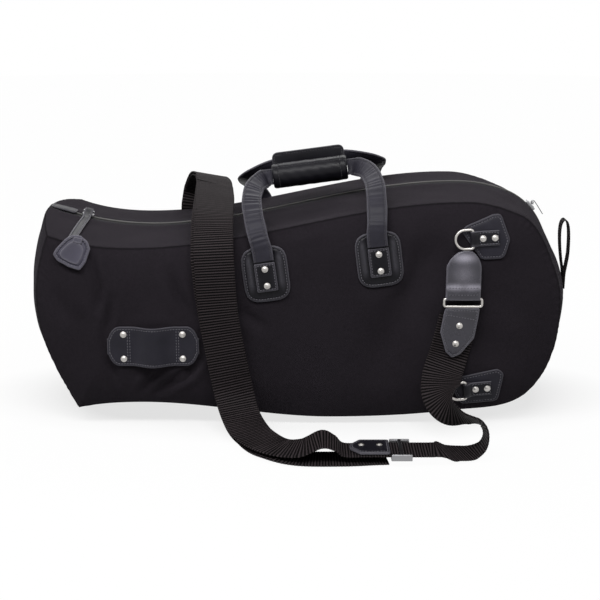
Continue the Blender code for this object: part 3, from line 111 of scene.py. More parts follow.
class Shape:
    """Points with four-sided faces, the faces' own UVs and any caps of more sides. Each point has a
    mark from 0 to 1: the wear of leather and the highlights painted on it, or the painted shade of
    cloth in a seam."""

    def __init__(self, points, quads, uvs, caps=(), marks=None):
        self.points, self.quads, self.uvs = points, quads, uvs
        self.caps = [np.asarray(cap) for cap in caps]
        self.marks = np.zeros(len(points)) if marks is None else marks

    def outward(self):
        """Turns the faces outwards: the sum of the faces' cone volumes has to be positive."""
        faces = [self.quads[:, [0, 1, 2]], self.quads[:, [0, 2, 3]]]
        for cap in self.caps:
            fan = np.stack([np.full(len(cap) - 2, cap[0]), cap[1:-1], cap[2:]], axis=1)
            faces.append(fan)
        a, b, c = (self.points[np.concatenate(faces)[:, k]] - self.points.mean(0) for k in range(3))
        if (a * np.cross(b, c)).sum() < 0:
            self.quads, self.uvs = self.quads[:, ::-1], self.uvs[:, ::-1]
            self.caps = [cap[::-1] for cap in self.caps]
        return self


def joined(shapes):
    """One shape out of several."""
    starts = np.cumsum([0] + [len(s.points) for s in shapes])
    return Shape(
        np.concatenate([s.points for s in shapes]),
        np.concatenate([s.quads + n for s, n in zip(shapes, starts)]),
        np.concatenate([s.uvs for s in shapes]),
        [cap + n for s, n in zip(shapes, starts) for cap in s.caps],
        np.concatenate([s.marks for s in shapes]),
    )


def lattice(rows, columns, wrap_rows=False, wrap_columns=False):
    """Corner numbers of the faces of a grid, and the same faces' corners without wrapping."""
    i, j = np.meshgrid(
        np.arange(rows if wrap_rows else rows - 1),
        np.arange(columns if wrap_columns else columns - 1),
        indexing="ij",
    )
    steps = ((0, 0), (0, 1), (1, 1), (1, 0))
    wrapped = np.stack([(i + a) % rows * columns + (j + b) % columns for a, b in steps], axis=-1)
    plain = np.stack([np.stack([i + a, j + b], axis=-1) for a, b in steps], axis=-2)
    return wrapped.reshape(-1, 4), plain.reshape(-1, 4, 2)


def lengths(rows):
    """Running length along rows of points."""
    return np.concatenate([[0], np.cumsum(np.linalg.norm(np.diff(rows, axis=0), axis=1))])


def bridged(ring, axis):
    """Triangles across a long thin ring of points: its two sides, merged in the order of their
    places along an axis."""
    at, size = ring @ axis, len(ring)
    first, last = int(at.argmin()), int(at.argmax())
    a = (first + np.arange((last - first) % size + 1)) % size
    b = (first - np.arange((first - last) % size + 1)) % size
    order = np.argsort(np.concatenate([at[a[1:]], at[b[1:]]]), kind="stable")
    on_a = order < len(a) - 1
    i, j = np.cumsum(on_a), np.cumsum(~on_a)
    step_a = np.stack([a[np.maximum(i - 1, 0)], a[i], b[j]], axis=1)
    step_b = np.stack([a[i], b[j], b[np.maximum(j - 1, 0)]], axis=1)
    faces = np.where(on_a[:, None], step_a, step_b)
    return faces[(faces != np.roll(faces, 1, axis=1)).all(1)]


def loft(sections, closed=False, marks=None, uv=None, axis=None):
    """Tube through closed sections, one per row, its ends capped. The UV is the length along
    the path and the length round the section, in metres. Long thin ends lie along an axis."""
    count, size = sections.shape[:2]
    quads, corners = lattice(count, size, closed, True)
    if uv is None:
        middle = sections.mean(1)
        middle = np.vstack([middle, middle[:1]]) if closed else middle
        widest = sections[count // 2]
        along, around = lengths(middle), lengths(np.vstack([widest, widest[:1]]))
        uvs = np.stack([along[corners[..., 0]], around[corners[..., 1]]], axis=-1)
    else:
        flat = uv.reshape(-1, 2)
        uvs = flat[quads]
    caps = [] if closed else [np.arange(size)[::-1], np.arange(size) + (count - 1) * size]
    if axis is not None:
        first, last = bridged(sections[0], axis), bridged(sections[-1], axis)
        caps = [*first[:, ::-1], *(last + (count - 1) * size)]
    points = sections.reshape(-1, 3)
    marks = None if marks is None else np.broadcast_to(marks, (count, size)).reshape(-1)
    return Shape(points, quads, uvs, caps, marks).outward()


def shell(outer, inner, uv, marks=None):
    """Closed sheet between two grids of points, with a wall along all four borders."""
    rows, columns = outer.shape[:2]
    quads, _ = lattice(rows, columns)
    grid = np.arange(rows * columns).reshape(rows, columns)
    border = np.concatenate([grid[0, :-1], grid[:-1, -1], grid[-1, :0:-1], grid[:0:-1, 0]])
    after, under = np.roll(border, -1), rows * columns
    walls = np.stack([border, border + under, after + under, after], axis=1)
    flat = uv.reshape(-1, 2)
    uvs = np.concatenate([flat[quads], flat[quads[:, ::-1]], flat[walls % under]])
    points = np.concatenate([outer.reshape(-1, 3), inner.reshape(-1, 3)])
    marks = None if marks is None else np.tile(np.broadcast_to(marks, (rows, columns)).ravel(), 2)
    quads = np.concatenate([quads, quads[:, ::-1] + under, walls])
    return Shape(points, quads, uvs, marks=marks).outward()


def add_piece(name, shape, finish, body, *stands_for, slot=None, sharp=40.0):
    """Puts a shape into the scene as one piece that rides on a body and takes the place of the
    solids that it stands for. The slot argument is not used."""
    mesh = bpy.data.meshes.new(name)
    sides = [4] * len(shape.quads) + [len(cap) for cap in shape.caps]
    corners = np.concatenate([shape.quads.ravel(), *shape.caps]).astype(np.int32)
    mesh.vertices.add(len(shape.points))
    mesh.vertices.foreach_set("co", shape.points.astype(np.float32).ravel())
    mesh.loops.add(len(corners))
    mesh.loops.foreach_set("vertex_index", corners)
    mesh.polygons.add(len(sides))
    starts = np.concatenate([[0], np.cumsum(sides)[:-1]])
    mesh.polygons.foreach_set("loop_start", starts.astype(np.int32))
    mesh.update(calc_edges=True)
    uvs = np.zeros((len(corners), 2), np.float32)
    uvs[: shape.quads.size] = shape.uvs.reshape(-1, 2)
    mesh.uv_layers.new(name="UVMap").data.foreach_set("uv", uvs.ravel())
    edge = mesh.attributes.new("edge", "FLOAT", "POINT")
    edge.data.foreach_set("value", shape.marks.astype(np.float32))
    mesh.validate()
    mesh.shade_smooth()
    mesh.set_sharp_from_angle(angle=math.radians(sharp))
    mesh.materials.append(bpy.data.materials[f"{finish} finish"])
    piece = bpy.data.objects.new(name, mesh)
    bpy.context.scene.collection.objects.link(piece)
    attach(piece, body)
    if stands_for:
        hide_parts(*stands_for)
    return piece


# Shaders


class Value:
    """A shader socket that can be added, multiplied and compared like a number."""

    def __init__(self, tree, socket):
        self.tree, self.socket = tree, socket

    def __add__(self, other):
        return self.tree.maths("ADD", self, other)

    def __radd__(self, other):
        return self.tree.maths("ADD", other, self)

    def __sub__(self, other):
        return self.tree.maths("SUBTRACT", self, other)

    def __rsub__(self, other):
        return self.tree.maths("SUBTRACT", other, self)

    def __mul__(self, other):
        return self.tree.maths("MULTIPLY", self, other)

    def __truediv__(self, other):
        return self.tree.maths("DIVIDE", self, other)

    def __pow__(self, other):
        return self.tree.maths("POWER", self, other)

    def sine(self):
        return self.tree.maths("SINE", self, 0.0)

    def clamped(self):
        return self.tree.maths("MINIMUM", self.tree.maths("MAXIMUM", self, 0.0), 1.0)


class Nodes:
    """A node tree, and ways to add to it."""

    def __init__(self, tree):
        self.nodes, self.links = tree.nodes, tree.links

    def node(self, kind, settings, sockets, output=0):
        """Adds a node: its settings first, then a value or a link for each named socket."""
        made = self.nodes.new(kind)
        for key, value in settings.items():
            setattr(made, key, value)
        for key, value in sockets.items():
            if isinstance(value, Value):
                self.links.new(value.socket, made.inputs[key])
            else:
                made.inputs[key].default_value = value
        return Value(self, made.outputs[output])

    def maths(self, operation, a, b):
        """One sum of two values, each a number or a socket."""
        return self.node("ShaderNodeMath", {"operation": operation}, {0: a, 1: b})

    def white_to_eye(self):
        """1 for rays from the camera, a reflection or through glass; 0 for those that light
        things."""
        path = self.nodes.new("ShaderNodeLightPath")
        rays = ("Is Camera Ray", "Is Glossy Ray", "Is Transmission Ray")
        camera, glossy, through = (Value(self, path.outputs[ray]) for ray in rays)
        return self.maths("MAXIMUM", self.maths("MAXIMUM", camera, glossy), through)

    def show(self, share, first, second, output):
        """Sends the mix of two shaders to the tree's output."""
        mixed = self.node("ShaderNodeMixShader", {}, {0: share, 1: first, 2: second})
        self.links.new(mixed.socket, self.nodes[output].inputs["Surface"])


class Recipe(Nodes):
    """One finish: a Principled shader with its even values, and the nodes that vary it."""

    def __init__(self, name, even):
        self.material = bpy.data.materials.new(f"{name} finish")
        self.material.use_nodes = True
        super().__init__(self.material.node_tree)
        self.shader = self.nodes["Principled BSDF"]
        for socket, value in even.items():
            value = (*value, 1.0) if isinstance(value, tuple) else value
            self.shader.inputs[socket].default_value = value

    def blend(self, share, a, b):
        """Colour between a and b."""
        a, b = ((*c, 1.0) if isinstance(c, tuple) else c for c in (a, b))
        sockets = {"Factor": share, 6: a, 7: b}
        return self.node("ShaderNodeMix", {"data_type": "RGBA", "clamp_factor": True}, sockets, 2)

    def place(self):
        """Coordinates of the piece itself, in metres."""
        return self.node("ShaderNodeTexCoord", {}, {}, 3)

    def surface(self):
        """The two lengths along the surface, in metres."""
        both = self.node("ShaderNodeUVMap", {"uv_map": "UVMap"}, {})
        return [self.node("ShaderNodeSeparateXYZ", {}, {0: both}, k) for k in (0, 1)]

    def edge(self):
        """The mark of each point."""
        return self.node("ShaderNodeAttribute", {"attribute_name": "edge"}, {}, 2)

    def noise(self, size, detail=2.0, rough=0.5):
        """Even noise whose spots are about as large as size, in metres."""
        sockets = {"Vector": self.place(), "Scale": 0.6 / size}
        sockets |= {"Detail": detail, "Roughness": rough}
        return self.node("ShaderNodeTexNoise", {}, sockets)

    def cells(self, size):
        """Distance to the nearest of scattered points that stand about size apart."""
        return self.node("ShaderNodeTexVoronoi", {}, {"Vector": self.place(), "Scale": 1.0 / size})

    def set(self, socket, value):
        """Links a value to a socket of the shader."""
        self.links.new(value.socket, self.shader.inputs[socket])

    def bump(self, height, depth, strength=1.0):
        """Relief of a depth in metres."""
        sockets = {"Height": height, "Distance": depth, "Strength": strength}
        self.set("Normal", self.node("ShaderNodeBump", {}, sockets))


def tint(base, share):
    """A colour times a share."""
    return tuple(c * share for c in base)


def make_cloth(name, base, pitch, even):
    """Plain weave: the product of a sine along and a sine across, broken up by fibre noise, and
    dark where the edge mark says that a seam swallows the light."""
    recipe = Recipe(name, {"Roughness": 0.92, "Specular IOR Level": 0.05, **even})
    u, v = recipe.surface()
    weave = (u * (TURN / pitch)).sine() * (v * (TURN / pitch)).sine()
    fibre = recipe.noise(0.0009, 3.0, 0.7)
    speck = recipe.noise(0.0022, 2.0, 0.6)
    wash = recipe.noise(0.055, 2.0, 0.5)
    tone = fibre * 0.55 + speck * 0.35 + wash * 0.35 + weave * 0.06 - 0.12
    cloth = recipe.blend(tone.clamped(), tint(base, 0.52), tint(base, 1.55))
    recipe.set("Base Color", recipe.blend((recipe.edge() * 0.9).clamped(), cloth, tint(base, 0.12)))
    recipe.set("Roughness", (0.98 - fibre * 0.16).clamped())
    recipe.bump(weave * 0.35 + fibre * 1.1 + speck * 0.5, 0.00035, 0.75)


def make_webbing(name, base, pitch):
    """Ribs across the strap, with painted shade in their valleys and painted highlights on their
    crests, and the warp's pairs of threads between.
    """
    recipe = Recipe(name, {"Roughness": 0.75, "Specular IOR Level": 0.07})
    u, v = recipe.surface()
    rib = (u * (TURN / pitch) - math.pi / 2).sine() * 0.5 + 0.5
    pair = (u * (TURN / pitch / 2)).sine() * 0.5 + 0.5
    warp = (v * (TURN / 0.0023) + (u * (TURN / (2 * pitch))).sine() * 1.3).sine() * 0.5 + 0.5
    fibre = recipe.noise(0.0008, 2.0, 0.7)
    wash = recipe.noise(0.03)
    # Painted shade and highlight: the rib wave darkens the valleys and lightens the crests of the
    # base colour, on top of the real ribs.
    tone = rib * rib * 1.05 + pair * 0.22 + warp * 0.14 + fibre * 0.20 + wash * 0.12 - 0.38
    recipe.set("Base Color", recipe.blend(tone.clamped(), tint(base, 0.04), tint(base, 3.60)))
    recipe.set("Roughness", (0.85 - rib * 0.22).clamped())
    recipe.bump(warp * 0.5 + fibre * 0.5, 0.0003, 0.7)


def make_leather(name, base, edge, rough, grain, gloss=0.20, coat=0.0):
    """Smooth leather: fine cells for its grain, long soft creases, and the edge colour where the
    mark is high, for edges worn lighter and for painted highlights.
    """
    sockets = {"Specular IOR Level": gloss, "Coat Roughness": 0.20, "Coat Weight": coat}
    recipe = Recipe(name, sockets)
    cells = recipe.cells(grain)
    fine = recipe.noise(0.0006, 2.0, 0.6)
    crease = recipe.noise(0.011, 4.0, 0.62)
    wash = recipe.noise(0.030, 2.0, 0.5)
    # The mark holds real edge wear and painted highlights alike; both blend the leather towards its
    # edge colour.
    wear_and_highlight = (recipe.edge() * (0.35 + fine * 1.1)).clamped()
    tone = (wash * 0.7 + crease * 0.5 - 0.1).clamped()
    body = recipe.blend(tone, tint(base, 0.45), tint(base, 1.70))
    recipe.set("Base Color", recipe.blend(wear_and_highlight, body, edge))
    matt = rough + (wash - 0.5) * 0.20 + (crease - 0.5) * 0.18 + wear_and_highlight * 0.10
    recipe.set("Roughness", matt.clamped())
    recipe.bump(cells * 0.55 + fine * 0.25 + crease * 2.4, 0.00028, 0.55)


def make_metal(name, base, rough):
    """Plated metal with fine handling marks in its gloss."""
    recipe = Recipe(name, {"Metallic": 1.0})
    marks = recipe.noise(0.0016, 4.0, 0.7)
    dull = recipe.noise(0.006)
    recipe.set("Base Color", recipe.blend((dull * 0.8).clamped(), base, tint(base, 0.82)))
    recipe.set("Roughness", (marks * 0.16 + dull * 0.10 + rough - 0.12).clamped())
    recipe.bump(marks, 0.00006, 0.35)


def make_thread(name, base):
    """Twisted thread."""
    recipe = Recipe(name, {"Specular IOR Level": 0.3, "Sheen Weight": 0.2, "Sheen Roughness": 0.4})
    twist = recipe.noise(0.0009, 2.0, 0.6)
    recipe.set("Base Color", recipe.blend(twist, tint(base, 0.55), tint(base, 1.3)))
    recipe.set("Roughness", (0.55 + twist * 0.3).clamped())
    recipe.bump(twist, 0.0002, 0.6)


# The bag's outline, in the XZ plane

BELL_HALF_WIDTH, LOBE_HALF_WIDTH = 0.143, 0.136
PANEL_THICK, PADDING_THICK, GUSSET_THICK = 0.002, 0.008, 0.008
PILLOW, PILLOW_RUN = 0.012, 0.050
CAP_X, END_X = -0.361, 0.3545
FINE = 12


def heading(degrees):
    """Unit vector in the XZ plane, measured from +X towards +Z."""
    return np.array([math.cos(math.radians(degrees)), math.sin(math.radians(degrees))])


def curve_between(start, end, leaving, arriving, steps):
    """Cubic from start to end with the given headings: a true arc where they allow one."""
    turn = math.radians((arriving - leaving + 180) % 360 - 180)
    chord = float(np.linalg.norm(end - start))
    if abs(turn) < 1e-6:
        handle = chord / 3
    else:
        handle = 4 / 3 * math.tan(turn / 4) / (2 * math.sin(turn / 2)) * chord
    a, b = start + handle * heading(leaving), end - handle * heading(arriving)
    t = (np.arange(steps) / steps)[:, None]
    return (1 - t) ** 3 * start + 3 * (1 - t) ** 2 * t * a + 3 * (1 - t) * t**2 * b + t**3 * end


def on_arc(x, z, radius, degrees):
    """Point of an arc about (x, z), degrees from the vertical towards +X."""
    angle = math.radians(degrees)
    return np.array([x + radius * math.sin(angle), z + radius * math.cos(angle)])


FLARE, SHOULDER = (-0.198, 0.6405, -0.400), (0.2483, 0.2066, 0.085)
# Knots of the crest, clockwise from the bell rim: name, point, heading that it leaves with and
# that it is reached with, bulge over the seam, seam direction, rows to the next knot.
KNOTS = [
    ("rim", on_arc(*FLARE, 20.7), -20.7, 70.0, 0.0256, -38.0, 8),
    ("throat", on_arc(*FLARE, -4.0), 4.0, 4.0, 0.0057, None, 9),
    ("lobe_top", (0.215, 0.2985), -1.0, -1.0, 0.0064, None, 3),
    ("shoulder_start", on_arc(*SHOULDER, 22.0), -22.0, -22.0, 0.0095, None, 6),
    ("shoulder_end", on_arc(*SHOULDER, 66.0), -66.0, -66.0, 0.0150, None, 4),
    ("end", (END_X, 0.160), -90.0, -90.0, 0.0210, None, 5),
    ("heel", (0.308, 0.030), -136.0, -136.0, 0.0180, None, 4),
    ("belly", (0.200, 0.0023), -173.0, -173.0, 0.0160, None, 4),
    ("base", (0.040, -0.006), -180.0, -180.0, 0.0158, None, 7),
    ("under_throat", (-0.205, 0.0225), -180.0, -180.0, 0.0080, None, 4),
    ("rim_foot", (-0.300, 0.0035), 119.0, -168.0, 0.0238, 57.0, 4),
    ("cap", (CAP_X, 0.165), 91.0, 91.0, 0.0250, None, 4),
]


def outline(fine):
    """Crest and seam as closed rows of points, and the row number of each knot."""
    crest, seam, at = [], [], {}
    for knot, follower in zip(KNOTS, KNOTS[1:] + KNOTS[:1]):
        ends = []
        for _, spot, leaves, _, bulge, inward, _ in (knot, follower):
            ends.append(np.array(spot) + bulge * heading(leaves - 90 if inward is None else inward))
        at[knot[0]] = sum(len(row) for row in crest) // fine
        spots = np.array(knot[1]), np.array(follower[1])
        crest.append(curve_between(*spots, knot[2], follower[3], knot[6] * fine))
        seam.append(curve_between(*ends, knot[2], follower[3], knot[6] * fine))
    return np.concatenate(crest), np.concatenate(seam), at


def mitred_inwards(row):
    """For each point of a closed row, the inward step that moves its sides by one metre."""
    before, after = row - np.roll(row, 1, axis=0), np.roll(row, -1, axis=0) - row
    sides = [side / np.linalg.norm(side, axis=1)[:, None] for side in (before, after)]
    sides = [np.stack([side[:, 1], -side[:, 0]], axis=1) for side in sides]
    mean = sides[0] + sides[1]
    mean /= np.linalg.norm(mean, axis=1)[:, None]
    return mean / (mean * sides[1]).sum(1)[:, None]


CREST, SEAM, AT = outline(FINE)
ROWS = len(CREST) // FINE
INWARDS = []
for coarse in outline(1)[:2]:
    step = mitred_inwards(coarse)
    step[0] = heading(-38.0)
    INWARDS.append(step)


def row_values(table, rows, scale=1):
    """Values of a closed table at fractional rows."""
    where = np.asarray(rows, float) * scale
    low = np.floor(where).astype(int)
    share = (where - low)[..., None]
    return table[low % len(table)] * (1 - share) + table[(low + 1) % len(table)] * share


def half_width(x):
    """Half the gusset's width, tapering from the bell to the lobe."""
    return BELL_HALF_WIDTH + (LOBE_HALF_WIDTH - BELL_HALF_WIDTH) * (x - CAP_X) / (END_X - CAP_X)


def gusset(rows, ys, depth):
    """Points of the gusset: a parabola across, from the crest in the middle to the seam."""
    rows, ys, depth = np.broadcast_arrays(rows, np.asarray(ys, float), depth)
    crest, seam = (row_values(table, rows, FINE) for table in (CREST, SEAM))
    crest_in, seam_in = (row_values(table, rows) for table in INWARDS)
    reach = (np.minimum(1.0, np.abs(ys) / half_width(seam[..., 0])) ** 2)[..., None]
    spots = crest + (seam - crest) * reach
    spots[..., 1] = np.maximum(spots[..., 1], 0.0)
    spots = spots + (crest_in + (seam_in - crest_in) * reach) * depth[..., None]
    return np.stack([spots[..., 0], ys, spots[..., 1]], axis=-1)


def smooth(x):
    """Soft step from 0 to 1 while x goes from 0 to 1."""
    x = np.clip(x, 0, 1)
    return x * x * (3 - 2 * x)


def bell(x, middle, wide):
    """Bell curve: 1 in the middle, and 1/e at a distance of wide from it."""
    return np.exp(-(((x - middle) / wide) ** 2))


def line_distance(x, z, line, closed=False):
    """Distance from points to a line of points, and the place along it from 0 to 1."""
    a = np.asarray(line, float)
    b = np.roll(a, -1, axis=0) if closed else a[1:]
    a = a if closed else a[:-1]
    spots = np.stack([x.ravel(), z.ravel()], axis=1)
    best, place = np.full(len(spots), np.inf), np.zeros(len(spots))
    for n, (start, end) in enumerate(zip(a, b)):
        along = end - start
        t = np.clip((spots - start) @ along / (along @ along), 0, 1)
        far = np.hypot(*(start + t[:, None] * along - spots).T)
        closer = far < best
        best[closer], place[closer] = far[closer], (n + t[closer]) / len(a)
    return best.reshape(x.shape), place.reshape(x.shape)


def panel_y(x, z):
    """Distance of the panel's outer face from the middle plane: it swells within its seam."""
    x, z = np.asarray(x, float), np.asarray(z, float)
    inside = np.minimum(line_distance(x, z, SEAM[::2], True)[0], PILLOW_RUN) / PILLOW_RUN
    return half_width(x) + PILLOW * (1 - (1 - inside) ** 2)


class Seat:
    """Flat seat with its own axes: u along it, v up it and n out of it."""

    def __init__(self, origin, u, v, n):
        self.origin, self.u, self.v, self.n = (np.array(part, float) for part in (origin, u, v, n))

    def at(self, u, v, n):
        """Places in space of the seat's own coordinates."""
        u, v, n = np.broadcast_arrays(*(np.asarray(part, float)[..., None] for part in (u, v, n)))
        return self.origin + self.u * u + self.v * v + self.n * n

    def on_panel(self, u, v, n):
        """Like at, but n is measured from the swell of the panel."""
        spots = self.at(u, v, 0)
        side = math.copysign(1, self.origin[1])
        spots[..., 1] = side * (panel_y(spots[..., 0], spots[..., 2]) + n)
        return spots


def unit(vector):
    """Vectors scaled to a length of 1."""
    vector = np.asarray(vector, float)
    return vector / np.linalg.norm(vector, axis=-1, keepdims=True)


def panel_seat(side, x, z, turn=0.0):
    """Seat that touches a panel's swell at (x, z), turned about its normal."""
    step = 0.002
    xs, zs = x + step * np.array([1, -1, 0, 0]), z + step * np.array([0, 0, 1, -1])
    y = panel_y(xs, zs)
    normal = unit([-(y[0] - y[1]) / (2 * step), side, -(y[2] - y[3]) / (2 * step)])
    up = unit(np.array([0, 0, 1]) - normal * normal[2])
    across = np.array([1, 0, 0]) - normal * normal[0]
    across = unit(across - up * (across @ up))
    c, s = heading(turn)
    origin = (x, side * float(panel_y(x, z)), z)
    return Seat(origin, across * c + up * s, up * c - across * s, normal)


# Shapes that several pieces share


def smooth_route(points, step):
    """Points about step apart on a smooth curve through the given ones (Catmull-Rom)."""
    rows = np.array(points, float)
    ends = np.vstack([2 * rows[0] - rows[1], rows, 2 * rows[-1] - rows[-2]])
    t = (np.arange(12) / 12)[:, None]
    fine = []
    for a, b, c, d in zip(ends, ends[1:], ends[2:], ends[3:]):
        square, cube = 2 * a - 5 * b + 4 * c - d, 3 * b - a - 3 * c + d
        fine.append(0.5 * (2 * b + (c - a) * t + square * t**2 + cube * t**3))
    fine = np.vstack(fine + [rows[-1:]])
    along = lengths(fine[:, :3])
    at = np.linspace(0, along[-1], max(4, round(along[-1] / step)))
    return np.stack([np.interp(at, along, column) for column in fine.T], axis=1)


def ribbon_frame(rows, last_way=None):
    """Middle, direction, width direction and normal of each row of a ribbon. Its last row
    leaves in the direction last_way, if that is given."""
    middle = rows[:, :3]
    ahead = np.gradient(middle, axis=0)
    if last_way is not None:
        ahead[-1] = last_way
    ahead = unit(ahead)
    across = rows[:, 3:] - ahead * (rows[:, 3:] * ahead).sum(1)[:, None]
    across = unit(across)
    return middle, ahead, across, np.cross(ahead, across)


def ribbon(rows, profile, last_way=None, scale=None, marks=None):
    """Strip whose section, given as (across, out) points, is carried along the rows."""
    middle, _, across, normal = ribbon_frame(rows, last_way)
    profile = np.broadcast_to(profile, (len(rows), *np.shape(profile)[-2:]))
    if scale is not None:
        profile = profile * np.asarray(scale)[:, None, :]
    sections = middle[:, None] + across[:, None] * profile[..., :1]
    sections = sections + normal[:, None] * profile[..., 1:]
    return loft(sections, marks=marks)


def round_corners(corners, radius, steps=6):
    """Polygon with each corner rounded by a parabola that an arc would fit."""
    corners = np.array(corners, float)
    points = []
    t = (np.arange(steps + 1) / steps)[:, None]
    for before, here, after in zip(np.roll(corners, 1, 0), corners, np.roll(corners, -1, 0)):
        a, b = before - here, after - here
        la, lb = np.linalg.norm(a), np.linalg.norm(b)
        half = math.acos(np.clip(a @ b / la / lb, -1, 1)) / 2
        reach = min(radius / math.tan(half), 0.45 * la, 0.45 * lb)
        first, last = here + a / la * reach, here + b / lb * reach
        points.append(first * (1 - t) ** 2 + here * 2 * t * (1 - t) + last * t**2)
    return np.vstack(points)


def box_corners(width, height, u=0.0, v=0.0):
    """Corners of a rectangle about (u, v)."""
    signs = (-1, -1), (1, -1), (1, 1), (-1, 1)
    return [(u + a * width / 2, v + b * height / 2) for a, b in signs]


def evenly(points, step, closed=True):
    """Points of a line at even distances of about step."""
    line = np.vstack([points, points[:1]]) if closed else np.asarray(points, float)
    along = lengths(line)
    count = max(3, round(along[-1] / step))
    at = np.linspace(0, along[-1], count, endpoint=not closed)
    return np.stack([np.interp(at, along, column) for column in line.T], axis=1)


def inset(points, distance):
    """Closed line moved inwards by a distance."""
    ahead = np.roll(points, -1, axis=0) - np.roll(points, 1, axis=0)
    out = unit(np.stack([ahead[:, 1], -ahead[:, 0]], axis=1))
    x, y = points.T
    area = (x * np.roll(y, -1) - np.roll(x, -1) * y).sum()
    return points - out * distance * math.copysign(1, area)


def edge_height(d, high, roll, groove, depth, swell):
    """Height of a leather plate at a distance from its edge: a quarter round, a stitch groove
    and a soft swell in the middle."""
    rounded = np.sqrt(np.maximum(0, roll**2 - np.maximum(0, roll - d) ** 2)) - roll
    line = depth * bell(d, groove, 0.0008) if groove else 0
    return high + rounded - line + swell * (1 - np.exp(-d / 0.006))


def plate(
    points, lay, low, high, roll=0.0008, groove=0.0028, depth=0.0004, swell=0.0003, spine=None,
    step=0.0012, painted_highlight=None, rim_wear=1.0,
):
    """Plate over a closed line: rings shrink from it to its spine, and the height of each point
    follows its true distance from the edge. lay turns (u, v, height) into a place, and shine, if
    given, gives how strongly a highlight is painted on the leather at (u, v)."""
    rim = evenly(points, step)
    middle = rim.mean(0)
    if spine is not None:
        a, b = (np.array(end, float) for end in spine)
        t = np.clip((rim - a) @ (b - a) / ((b - a) @ (b - a)), 0, 1)[:, None]
        middle = a + (b - a) * t
    reach = float(np.linalg.norm(rim - middle, axis=1).mean())
    near = np.arange(0, min(0.0056, reach * 0.6), 0.0004) / reach
    shares = np.concatenate([near, np.linspace(near[-1], 0.998, 9)[1:]])
    flat = rim + (middle - rim) * shares[:, None, None]
    distance, _ = line_distance(flat[..., 0], flat[..., 1], rim, True)
    top = lay(flat[..., 0], flat[..., 1], edge_height(distance, high, roll, groove, depth, swell))
    under = flat[[-1, 6, 0]]
    bottom = lay(under[..., 0], under[..., 1], np.full(under.shape[:2], low))
    sections = np.concatenate([bottom, top])
    uv = np.concatenate([under, flat])
    # Marks: the real wear of the rim, and where shine is given, painted highlights as well.
    wear_and_highlight = rim_wear * np.exp(-distance / 0.0013)
    if painted_highlight is not None:
        wear_and_highlight = np.maximum(wear_and_highlight, painted_highlight(flat[..., 0], flat[..., 1]))
    marks = np.concatenate([np.ones(under.shape[:2]), wear_and_highlight])
    axis = None
    if spine is not None:
        ends = lay(np.array([a[0], b[0]]), np.array([a[1], b[1]]), np.full(2, high))
        axis = ends[1] - ends[0]
    return loft(sections, marks=marks, uv=uv, axis=axis)


def circle(count):
    """Points of a circle of radius 1."""
    turn = np.arange(count) * TURN / count
    return np.stack([np.cos(turn), np.sin(turn)], axis=1)


def lathe(seat, u, v, profile):
    """Round shape about the seat's normal through (u, v): profile gives radius and height."""
    radius, height = np.array(profile, float).T
    spots = radius[:, None, None] * circle(22)
    return loft(seat.at(u + spots[..., 0], v + spots[..., 1], height[:, None]))


def wire(points, radius):
    """Round bar along a closed line of points in one plane."""
    ahead = unit(np.roll(points, -1, axis=0) - np.roll(points, 1, axis=0))
    plane = unit(np.cross(points[1] - points[0], points[len(points) // 2] - points[0]))
    side = np.cross(ahead, plane)
    round_it = side[:, None] * circle(14)[:, :1] + plane * circle(14)[:, 1:]
    return loft(points[:, None] + round_it * radius, closed=True)


def beads(spot, ahead, normal, along, wide, tall, lift):
    """Short bars, one at each spot: rings of six points, whose half width, half height and lift
    are given at places along the bar."""
    side = np.cross(ahead, normal)
    middle = spot[:, None] + ahead[:, None] * along[:, None] + normal[:, None] * lift[:, None]
    flat = side[:, None, None] * (wide[:, None] * circle(6)[:, 0])[..., None]
    up = normal[:, None, None] * (tall[:, None] * circle(6)[:, 1])[..., None]
    points = middle[:, :, None] + flat + up
    quads, corners = lattice(len(along), 6, False, True)
    size, starts = len(along) * 6, np.arange(len(spot)) * len(along) * 6
    quads = (quads + starts[:, None, None]).reshape(-1, 4)
    uvs = np.tile(corners * float(wide.max()), (len(spot), 1, 1))
    ends = (np.arange(6)[::-1], np.arange(6) + size - 6)
    caps = [end + start for start in starts for end in ends]
    return Shape(points.reshape(-1, 3), quads, uvs, caps).outward()


def stitches(line, normals, sizes, closed=True):
    """Row of stitches along a line: each is a short bar whose two ends dive into the surface."""
    both = evenly(np.hstack([line, normals]), 0.0008, closed)
    path = np.vstack([both, both[:1]]) if closed else both
    along = lengths(path[:, :3])
    count = max(1, int(along[-1] / sizes.stitch_pitch))
    at = (np.arange(count) + 0.5) * along[-1] / count
    spot = np.stack([np.interp(at, along, column) for column in path.T], axis=1)
    reach = sizes.stitch_length / 2
    ends = [
        np.stack([np.interp(at + k * reach, along, c) for c in path[:, :3].T], axis=1)
        for k in (-1, 1)
    ]
    t = np.linspace(-1, 1, 5)
    width = sizes.thread_width / 2 * np.array([0.45, 0.95, 1.0, 0.95, 0.45])
    lift = sizes.thread_width * (0.42 - 0.75 * t**4)
    spot, normal = spot[:, :3], unit(spot[:, 3:])
    return beads(spot, unit(ends[1] - ends[0]), normal, t * reach, width, 0.8 * width, lift)


def sew(line, lay, height, sizes, closed):
    """Stitches along a line of (u, v) points, laid at a height."""
    line = evenly(line, 0.0012, closed)
    spots, above = (
        lay(line[:, 0], line[:, 1], np.full(len(line), height + up)) for up in (0, 0.001)
    )
    return stitches(spots, unit(above - spots), sizes, closed)


def plate_stitches(points, lay, height, sizes, distance=0.0028):
    """Stitches all round a plate, at a distance from its edge."""
    return sew(inset(evenly(points, 0.0012), distance), lay, height, sizes, True)


def run_stitches(points, lay, height, sizes):
    """Stitches along an open line of a plate."""
    return sew(np.array(points, float), lay, height, sizes, False)


